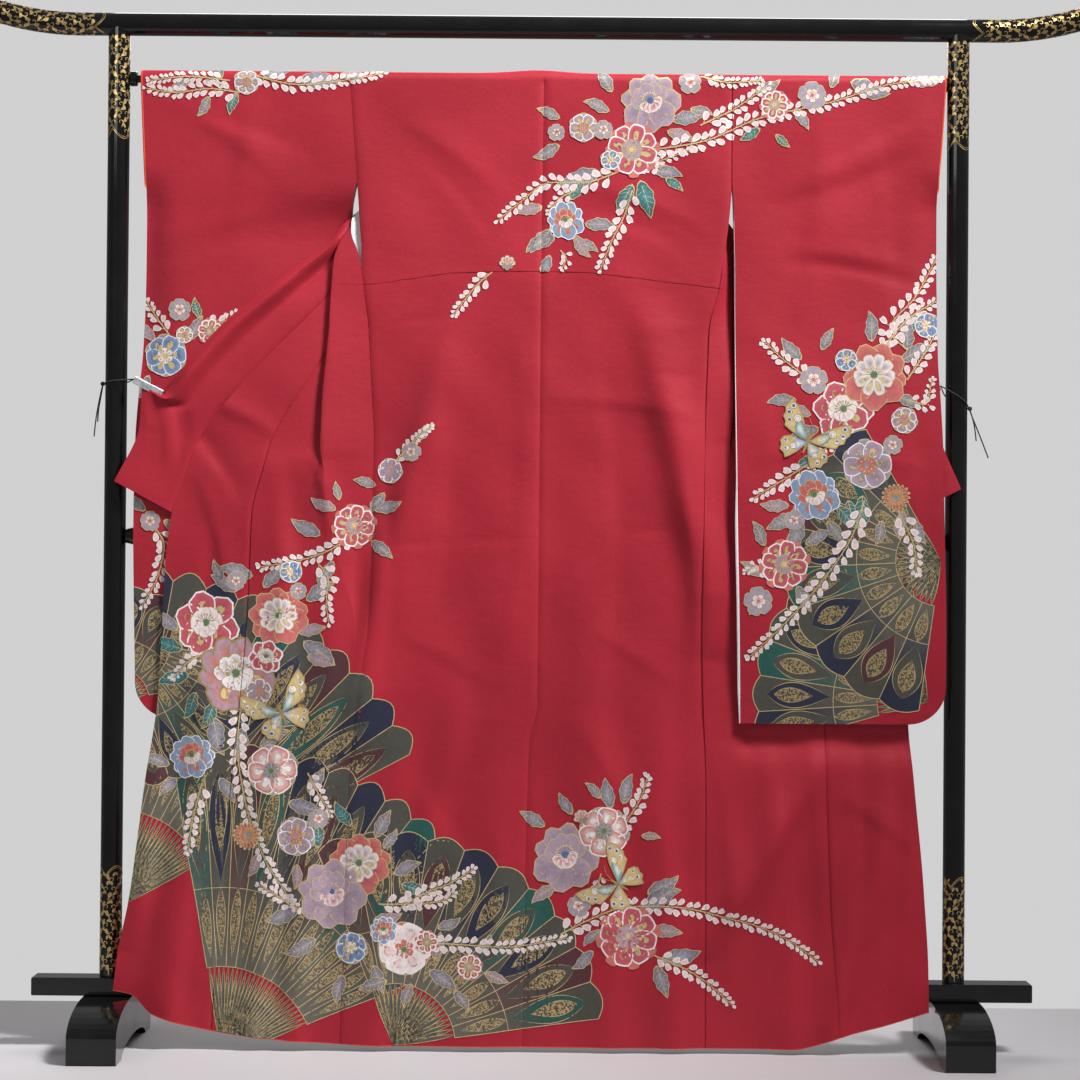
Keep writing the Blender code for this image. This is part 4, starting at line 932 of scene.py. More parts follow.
class Drawing:
    """Flat shapes for the cloth, gathered as arrays: places, layer, colour with gold, fleck and triangles."""

    def __init__(self):
        self.places, self.layers, self.colours, self.flecks, self.faces = [], [], [], [], []
        self.count = 0

    def add(self, places, faces, colours, layer, fleck=0.0):
        self.places.append(np.asarray(places, float))
        self.colours.append(np.broadcast_to(colours, (len(places), 4)))
        self.layers.append(np.full(len(places), float(layer)))
        self.flecks.append(np.broadcast_to(fleck, (len(places),)))
        self.faces.append(np.asarray(faces, int) + self.count)
        self.count += len(places)

    def arrays(self):
        parts = self.places, self.layers, self.colours, self.flecks, self.faces
        return tuple(np.concatenate(part) for part in parts)


def blend(first, second, share):
    """Colours between two named ones, share of the way from the first to the second."""
    first, second = np.array(DYE[first], float), np.array(DYE[second], float)
    return first + (second - first) * np.asarray(share, float)[..., None]


def halves(quads):
    """Each quad as two triangles."""
    return np.concatenate([quads[:, [0, 1, 2]], quads[:, [0, 2, 3]]])


def heading(way):
    """A step of length one in a direction given in radians."""
    return np.array((math.cos(way), math.sin(way)))


def disc(count):
    """Points evenly round a circle of radius one."""
    ring = np.linspace(0, 2 * math.pi, count + 1)[:-1]
    return np.stack([np.cos(ring), np.sin(ring)], -1)


def blob(drawing, outline, centre, inner, outer, edge, layer, rim=0.12):
    """A closed shape shaded from its centre to its outline, with an edge line of its own colour.

    Rings run from the centre to the outline in even steps, the last of them the width of the edge line.
    """
    outline, centre = np.asarray(outline, float), np.asarray(centre, float)
    size = np.linalg.norm(outline - centre, axis=-1).max()
    line = np.clip(rim, 0.02, 0.5)
    steps = max(int(size * (1 - line) / BLOB_STEP), 1)
    rings = np.concatenate([np.linspace(0, 1 - line, steps + 1)[1:], [1 - line + 0.005, 1]])
    count = len(outline)
    points = centre + (outline - centre) * rings[:, None, None]
    shares = np.concatenate([np.linspace(0, 1, steps + 1)[1:], [1, 1]])
    colours = blend(inner, outer, shares)[:, None].repeat(count, 1)
    colours[-2:] = DYE[edge]
    k = np.arange(count)
    fan = np.stack([np.zeros(count, int), 1 + k, 1 + (k + 1) % count], -1)
    faces = np.concatenate([fan, halves(grid_faces(len(rings), count, closed=True) + 1)])
    places = np.concatenate([centre[None], points.reshape(-1, 2)])
    drawing.add(places, faces, np.concatenate([[DYE[inner]], colours.reshape(-1, 4)]), layer)


def ribbon(drawing, line, width, colour, layer):
    """A thin line: its points moved half its width to both sides."""
    line = np.asarray(line, float)
    along = np.gradient(line, axis=0)
    along /= np.maximum(np.linalg.norm(along, axis=-1, keepdims=True), 1e-9)
    side = np.stack([-along[:, 1], along[:, 0]], -1) * (np.broadcast_to(width, (len(line),)) / 2)[:, None]
    k, n = np.arange(len(line) - 1), len(line)
    faces = halves(np.stack([k, k + 1, k + 1 + n, k + n], -1))
    drawing.add(np.concatenate([line + side, line - side]), faces, DYE[colour], layer)


def turn(points, angle, at=(0, 0)):
    """Points turned about the origin by an angle in radians and moved to a place."""
    c, s = math.cos(angle), math.sin(angle)
    points = np.asarray(points, float)
    return points @ np.array(((c, s), (-s, c))) + np.asarray(at, float)


def petal_outline(length, width, lobes=1, notch=0.0, count=18):
    """A petal from its base at the origin: a drop with a bent sine as half width, its tip in lobes."""
    t = np.linspace(0, 1, count)
    phi = np.pi * (2 * t - 1)
    reach = 0.5 * (1 + np.cos(phi))
    side = np.sign(phi) * np.sin(np.abs(phi)) ** 0.85 * (0.35 + 0.65 * reach**0.45)
    waves = 0.06 * np.cos(lobes * phi * 1.6) if lobes > 1 else 0
    scallop = 1 + waves - notch * np.exp(-((phi / 0.35) ** 2))
    x = length * reach * scallop
    y = width / 2 * side * (1.25 if lobes > 1 else 1.15)
    return np.stack([x, y], -1)[:-1]


# Colours of the dyed pattern, each with how much gold it holds last
DYE = {
    "gold": (0.62, 0.42, 0.17, 0.9),
    "pale_gold": (0.72, 0.55, 0.27, 0.6),
    "white": (0.86, 0.80, 0.78, 0),
    "blush": (0.82, 0.60, 0.60, 0),
    "pink": (0.54, 0.09, 0.12, 0),
    "rose": (0.42, 0.05, 0.075, 0),
    "coral": (0.60, 0.16, 0.125, 0),
    "lilac": (0.42, 0.30, 0.38, 0),
    "grape": (0.20, 0.13, 0.22, 0),
    "mauve": (0.30, 0.22, 0.28, 0),
    "sky": (0.20, 0.32, 0.52, 0),
    "blue": (0.06, 0.13, 0.34, 0),
    "slate": (0.17, 0.17, 0.24, 0),
    "slate_light": (0.34, 0.32, 0.38, 0),
    "teal": (0.01, 0.12, 0.14, 0),
    "teal_light": (0.06, 0.26, 0.28, 0),
    "green": (0.10, 0.20, 0.09, 0),
    "yellow": (0.74, 0.56, 0.20, 0),
    "olive": (0.062, 0.058, 0.045, 0),
    "olive_light": (0.13, 0.12, 0.09, 0),
    "navy": (0.010, 0.014, 0.042, 0),
    "maroon": (0.075, 0.016, 0.022, 0),
    "forest": (0.008, 0.085, 0.07, 0),
}

# Each flower: the colours of its core and stamens, then its rings of petals from the outside in. A ring has
# its count, first and last heading in degrees, length and width as shares of the flower's radius, lobes, the
# colours of base, tip and edge, the edge's width and, for some, the colour of an inlay
FLOWERS = {
    "lilac_peony": ("blue", "yellow", rows_of("""
    6 -15 195 0.92 0.64 3 mauve lilac pale_gold 1.7
    4 205 335 1 0.82 3 mauve lilac pale_gold 1.7
    5 20 160 0.62 0.5 3 lilac lilac pale_gold 1.3
    5 200 340 0.42 0.34 1 pink white gold 1
    """)),
    "gold_peony": ("green", "yellow", rows_of("""
    7 -20 200 0.9 0.64 3 coral lilac gold 3
    3 220 320 1 0.92 3 coral lilac gold 3 yellow
    4 30 150 0.52 0.42 3 lilac white gold 1.6
    5 205 335 0.46 0.34 1 white white gold 1
    """)),
    "pink_peony": ("green", "yellow", rows_of("""
    6 -10 190 0.95 0.7 3 rose coral pale_gold 1.3
    3 220 320 1 0.78 3 pink coral pale_gold 1.3
    6 0 180 0.68 0.36 1 lilac white pale_gold 1
    4 205 335 0.64 0.34 1 lilac white pale_gold 1 yellow
    """)),
    "white_peony": ("green", "gold", rows_of("""
    5 -28 208 0.96 0.78 3 rose pink white 2.6 pale_gold
    2 240 300 0.9 0.74 3 rose pink white 2.6 pale_gold
    5 10 170 0.52 0.42 1 blush white pale_gold 1
    4 205 335 0.44 0.34 1 blush white gold 1
    """)),
    "blue_peony": ("green", "yellow", rows_of("""
    7 -20 200 0.95 0.68 3 slate_light sky white 1.4
    3 225 315 1 0.82 3 slate_light sky white 1.4 coral
    5 10 170 0.6 0.44 3 pink coral pale_gold 1
    5 200 340 0.44 0.34 1 blush white gold 1
    """)),
    "pink_star": ("yellow", "gold", rows_of("""
    8 0 360 1.08 0.5 1 coral coral coral 1
    8 22 382 0.98 0.64 1 rose pink white 2.2 pale_gold
    8 0 360 0.42 0.26 1 lilac lilac gold 0.9
    """)),
    "white_star": ("green", "slate", rows_of("""
    6 30 390 1.04 0.5 1 mauve lilac pale_gold 1.2
    6 0 360 1 0.84 1 white coral white 2.6 white
    6 30 390 0.36 0.26 1 slate_light slate_light gold 0.9
    """)),
    "white_plum": ("green", "gold", rows_of("""
    6 30 390 1.04 0.5 1 rose coral pale_gold 1.2
    6 0 360 1 0.92 1 blush white white 1.4 blush
    6 30 390 0.4 0.3 1 coral coral white 0.9
    """)),
    "lilac_star": ("lilac", "yellow", rows_of("""
    6 30 390 1.04 0.56 1 slate slate_light pale_gold 1.2
    6 0 360 0.98 0.78 1 mauve lilac white 1.8 pale_gold
    6 30 390 0.4 0.28 1 coral coral gold 0.9
    """)),
    "blue_star": ("yellow", "coral", rows_of("""
    6 30 390 1.02 0.6 1 slate slate_light pale_gold 1.2
    6 0 360 0.96 0.82 1 blue sky white 1.7 pale_gold
    6 30 390 0.4 0.28 1 white white gold 0.9
    """)),
    "mum": ("sky", "gold", rows_of("""
    18 0 360 1 0.24 1 pink coral pale_gold 0.9
    14 10 370 0.68 0.2 1 coral yellow gold 0.8
    """)),
    "small_plum": ("coral", "gold", rows_of("""
    5 0 360 1 0.98 1 lilac slate_light pale_gold 1.2
    5 36 396 0.5 0.4 1 blush white gold 0.8
    """)),
    "side_plum": ("yellow", "gold", rows_of("""
    5 10 170 1 0.6 1 pink white gold 1
    3 215 325 0.7 0.5 1 slate lilac gold 1
    """)),
}


def draw_petal(drawing, at, way, length, width, lobes, base, tip, edge, rim, inlay, layer):
    """A petal with an edge line of a set width, two fine veins and, where it has one, an inlaid leaf."""
    place = turn(petal_outline(length, width, lobes, 0.06 if lobes == 1 else 0.0), way, at)
    heart = at + length * 0.56 * heading(way)
    blob(drawing, place, heart, base, tip, edge, layer, np.clip(rim / (width * 0.5), 0.06, 0.34))
    if inlay:
        leaf = petal_outline(length * 0.5, width * 0.34, 1, 0, 12) + (length * 0.26, 0)
        middle = at + length * 0.52 * heading(way)
        blob(drawing, turn(leaf, way, at), middle, *inlay, *inlay, "gold", layer + 0.03, 0.16)
    elif length > 14:
        for lean in (-0.22, 0.22):
            ends = np.array(((0.3, lean * 0.4), (0.55, lean * 0.8), (0.84, lean))) * (length, width)
            ribbon(drawing, turn(ends, way, at), np.array((0.9, 0.7, 0.3)), base, layer + 0.03)


def draw_flower(drawing, kind, x, z, radius, angle, layer):
    """A flower from its table: ring on ring of petals, then a crown of stamens and its core.

    A ring that doesn't close is the upper or the lower half of a flower seen from the side and above. The
    whole flower leans by the angle in radians, and the full rings turn by it.
    """
    core, dots, rings = FLOWERS[kind]
    at = np.array((x, z))
    whole = all(last - first == 360 for _, first, last, *_ in rings)
    lean = angle if whole else 0.45 * math.sin(5 * angle)
    for number, (count, first, last, length, width, lobes, base, tip, edge, rim, *inlay) in enumerate(rings):
        full = last - first == 360
        ways = np.radians(np.linspace(first, last, count, endpoint=not full)) + lean
        order = sorted(range(count), key=lambda k: 0 if full else -abs(k - (count - 1) / 2))
        for rank, k in enumerate(order):
            size = radius * length * (1 + 0.05 * math.sin(7.3 * k + 11 * angle))
            height = layer + number + (0.3 * (rank % 2) if full else 0.11 * rank)
            draw_petal(drawing, at, ways[k], size, radius * width, lobes, base, tip, edge, rim, inlay, height)
    top = layer + len(rings) + 0.2
    if whole:
        reach, ways, heart = 0.24, np.linspace(0, 2 * math.pi, 10, endpoint=False), at
    else:
        reach, ways = 0.25, np.radians(np.linspace(5, 175, 9)) + lean
        heart = at + 0.02 * radius * heading(lean + math.pi / 2)
    blob(drawing, heart + disc(10) * radius * 0.12, heart, core, core, "gold", top, 0.2)
    for way in ways:
        tip = heart + radius * reach * heading(way)
        ribbon(drawing, np.linspace(heart, tip, 3), 0.9, core, top + 0.1)
        dot = tip + disc(10)[::2] * max(radius * 0.035, 0.8)
        blob(drawing, dot, tip, dots, dots, dots, top + 0.2, 0.3)


LEAF_KINDS = {"slate": ("slate", "slate_light"), "mauve": ("mauve", "lilac"), "teal": ("teal", "teal_light")}


def draw_leaf(drawing, kind, x, z, length, angle, layer, width=0.42, bend=0.25):
    """A veined leaf on a bent midrib: its half width is a sine of the way along, drawn out to its point."""
    (base, light), line = LEAF_KINDS[kind], "pale_gold"
    s = np.linspace(0, 1, 16)
    spine = np.stack([s * length, bend * length * s**2 * (1.1 - s) * 2], -1)
    half = width * length * 0.5 * np.sin(np.pi * s**0.8) ** 0.9 * (1 + 0.1 * np.sin(22 * s))
    upper, lower = spine + np.stack([0 * s, half], -1), spine - np.stack([0 * s, half], -1)
    outline = turn(np.concatenate([upper, lower[-2:0:-1]]), angle, (x, z))
    middle = turn(spine, angle, (x, z))
    rim = np.clip(1.1 / (width * length * 0.5), 0.05, 0.25)
    blob(drawing, outline, middle[7], light, base, line, layer, rim)
    ribbon(drawing, middle, np.linspace(1.4, 0.5, 16), line, layer + 0.08)
    for k in range(2, 13, 2):
        for border in (upper, lower):
            end = spine[k] + (border[k + 2] - spine[k]) * 0.84
            ribbon(drawing, turn(np.linspace(spine[k], end, 4), angle, (x, z)), 0.7, line, layer + 0.06)


def draw_strand(drawing, line, bud, layer, side_first=1):
    """A wisteria strand: a gold stem on a smooth line, with white buds on short stalks to its left and right.

    The buds shrink towards the tip, where a single one ends the stem.
    """
    lengths = np.concatenate([[0], np.cumsum(np.linalg.norm(np.diff(line, axis=0), axis=1))])
    total = lengths[-1]

    def smooth(*at):
        return curve(lengths, line, at)

    at = np.linspace(0, total, max(int(total / 6), 4))
    ribbon(drawing, smooth(*at), np.linspace(2.4, 1.1, len(at)), "pale_gold", layer)
    place, k = bud * 0.5, 0
    while place < total - bud * 0.35:
        size = 1.27 * bud * (1 - 0.5 * (place / total) ** 1.2) * (1 + 0.07 * math.sin(5.1 * k + total))
        here, ahead = smooth(place, min(place + 3, total))
        way = math.atan2(*(ahead - here)[::-1])
        for sign in (side_first, -side_first):
            lean = way + sign * (0.92 + 0.14 * math.sin(3.7 * k + sign))
            root = here + (0.0 if sign == side_first else BUD_PITCH / 2 * size) * heading(way)
            start = root + size * 0.34 * heading(lean)
            turned = lean - sign * 0.3
            outline = turn(petal_outline(size, size * 0.68, 1, 0.12 if k % 3 else 0.0, 13), turned, start)
            heart = start + size * 0.58 * heading(turned)
            blob(drawing, outline, heart, "blush", "blush", "white", layer + 0.2, 0.3)
            stalk = np.linspace(root, start + (heart - start) * 0.2, 3)
            ribbon(drawing, stalk, 1.2, "pale_gold", layer + 0.25)
        place += size * BUD_PITCH
        k += 1
    end, before = smooth(total, total - 3)
    way = math.atan2(*(end - before)[::-1])
    outline = turn(petal_outline(bud * 0.6, bud * 0.46, 1, 0, 12), way, end)
    blob(drawing, outline, end + bud * 0.33 * heading(way), "blush", "white", "white", layer + 0.2, 0.3)


# A butterfly's upper and lower wing, in shares of its size, as places across and along it, then their cells:
# place, size and colour
WINGS_DRAWN = (
    rows_of("""
    0 0, 0.2 0.3, 0.44 0.62, 0.72 0.86, 0.96 1, 1 0.84, 1.04 0.68, 0.97 0.54, 0.98 0.38, 0.86 0.28, 0.82 0.14,
    0.6 0.08, 0.3 0.02
    """),
    rows_of("""
    0 0, 0.3 -0.02, 0.56 -0.03, 0.72 -0.14, 0.76 -0.3, 0.68 -0.4, 0.66 -0.54, 0.52 -0.58, 0.42 -0.7,
    0.3 -0.58, 0.18 -0.42, 0.07 -0.2
    """),
)
WING_CELLS = rows_of("""
    0.82 0.78 0.1 blue, 0.86 0.56 0.1 blue, 0.76 0.36 0.09 blue, 0.56 0.5 0.13 white, 0.6 -0.2 0.1 blue
    0.5 -0.42 0.1 blue, 0.34 -0.28 0.1 white
""")


def draw_butterfly(drawing, x, z, size, angle, layer):
    """A butterfly, its head along the angle: wings with a pale core and ringed cells, body and feelers."""

    def put(points):
        return turn(np.array(points, float) * size, angle, (x, z))

    for sign in (1, -1):
        for number, (wing, tone) in enumerate(zip(WINGS_DRAWN, ("teal_light", "sky"))):
            outline = put([(along, sign * across) for across, along in wing])
            heart = outline.mean(axis=0)
            blob(drawing, outline, heart, "yellow", "pale_gold", "gold", layer + 0.1 * number, 0.08)
            core = (x, z) + (outline - (x, z)) * 0.55
            blob(drawing, core, core.mean(axis=0), "white", tone, "gold", layer + 0.25, 0.1)
        for across, along, wide, name in WING_CELLS:
            centre = put([(along, sign * across)])[0]
            cell = disc(12) * wide * size
            blob(drawing, centre + cell, centre, "white", "white", "gold", layer + 0.4, 0.2)
            blob(drawing, centre + cell * 0.55, centre, name, name, "gold", layer + 0.45, 0.2)
        feeler = put(((0.2, 0), (0.5, 0.1 * sign), (0.66, 0.26 * sign)))
        ribbon(drawing, feeler, 1.0, "gold", layer + 0.5)
    body = put(((-0.36, 0), (-0.1, 0), (0.26, 0)))
    ribbon(drawing, body, np.array((1.6, 4.6, 3.0)) * size / 50, "gold", layer + 0.55)


def patch(drawing, points, colours, layer, fleck=0.0):
    """A grid of places, rows by columns, coloured point by point."""
    shape = points.shape[:2]
    colours = np.broadcast_to(colours, (*shape, 4)).reshape(-1, 4)
    fleck = np.broadcast_to(fleck, shape).ravel()
    drawing.add(points.reshape(-1, 2), halves(grid_faces(*shape)), colours, layer, fleck)


def drop(drawing, start, way, length, width, base, tip, layer, fleck=0.0):
    """A long drop with a gold edge line: a grid whose half width is a bent sine of the way along it."""
    s = np.linspace(0.003, 0.997, max(int(length / PATCH_STEP), 8))[:, None]
    half = width / 2 * np.sin(np.pi * s**1.3) ** 0.75
    line = min(1.1 / (width / 2), 0.4)
    t = np.array((-1, line - 1, line - 0.995, -0.4, 0, 0.4, 0.995 - line, 1 - line, 1))
    flat = np.stack([length * s + 0 * t, half * t], -1).reshape(-1, 2)
    places = turn(flat, way, start).reshape(len(s), 9, 2)
    colours = blend(base, tip, s[:, 0])[:, None].repeat(9, 1)
    colours[:, [0, 1, 7, 8]] = DYE["pale_gold"]
    flecks = np.full((len(s), 9), fleck)
    flecks[:, [0, 1, 7, 8]] = 0
    patch(drawing, places, colours, layer, flecks)


FAN_SHADES = ("olive", "navy", "olive", "maroon", "olive", "forest", "olive", "navy")


def draw_fan(drawing, x, z, radius, low, high, blades, layer, seed=0):
    """An open folding fan: its leaf is cut into blades from an inner to an outer arc, each end scalloped.

    A blade is a ring sector with a drop of another shade and gold-flecked drops on it, a gold line along each
    fold, and gold sticks from the pivot to the leaf. Angles are in degrees from +X.
    """
    low, high = math.radians(low), math.radians(high)
    step = (high - low) / blades
    inner, wide = 0.3 * radius, radius * step
    pivot = np.array((x, z))

    def arc(reach, angles):
        return pivot + np.stack([reach * np.cos(angles), reach * np.sin(angles)], -1)

    for k in range(blades):
        shade, other = (FAN_SHADES[(k + seed + more) % len(FAN_SHADES)] for more in (0, 3))
        share = np.linspace(0, 1, max(int(wide / PATCH_STEP), 4))
        angles = low + (k + share) * step
        s = np.linspace(0, 1, int(0.7 * radius / PATCH_STEP))[:, None]
        reach = inner + (radius * (1 + 0.035 * np.sin(np.pi * share)) - inner) * s
        colours = blend("olive_light", shade, np.clip(s[:, 0] * 1.6, 0, 1))[:, None].repeat(len(share), 1)
        patch(drawing, arc(reach, angles), colours, layer)
        ribbon(drawing, arc(reach[-1], angles), 1.5, "pale_gold", layer + 1.5)
        way = low + (k + 0.5) * step
        for start, length, width, base, tip, over, fleck in (
            (0.58, 0.37, 0.72, other, other, 0.6, 0.0),
            (0.68, 0.23, 0.42, "olive", "olive", 1.1, 1.0),
            (0.33, 0.23, 0.3, "olive_light", "olive", 0.6, 0.8),
        ):
            foot = pivot + start * radius * heading(way)
            drop(drawing, foot, way, length * radius, width * wide, base, tip, layer + over, fleck)
    for k in range(2 * blades):
        way = low + (k + 0.5) * step / 2
        tones = ("olive", "navy", "forest")[k % 3], ("olive_light", "olive")[k % 2]
        drop(drawing, pivot, way, inner * 1.02, inner * step * 0.44, *tones, layer + 0.3, 0.4 * (k % 2))
    for k in range(blades + 1):
        unit = heading(low + k * step)
        line = np.linspace(pivot + unit * inner, pivot + unit * radius, int(radius / 7))
        ribbon(drawing, line, 1.3, "pale_gold", layer + 1.5)
    for share in (0.3, 0.56):
        angles = np.linspace(low, high, int((high - low) * share * radius / 7) + 2)
        ribbon(drawing, arc(share * radius, angles), 1.1, "pale_gold", layer + 1.5)


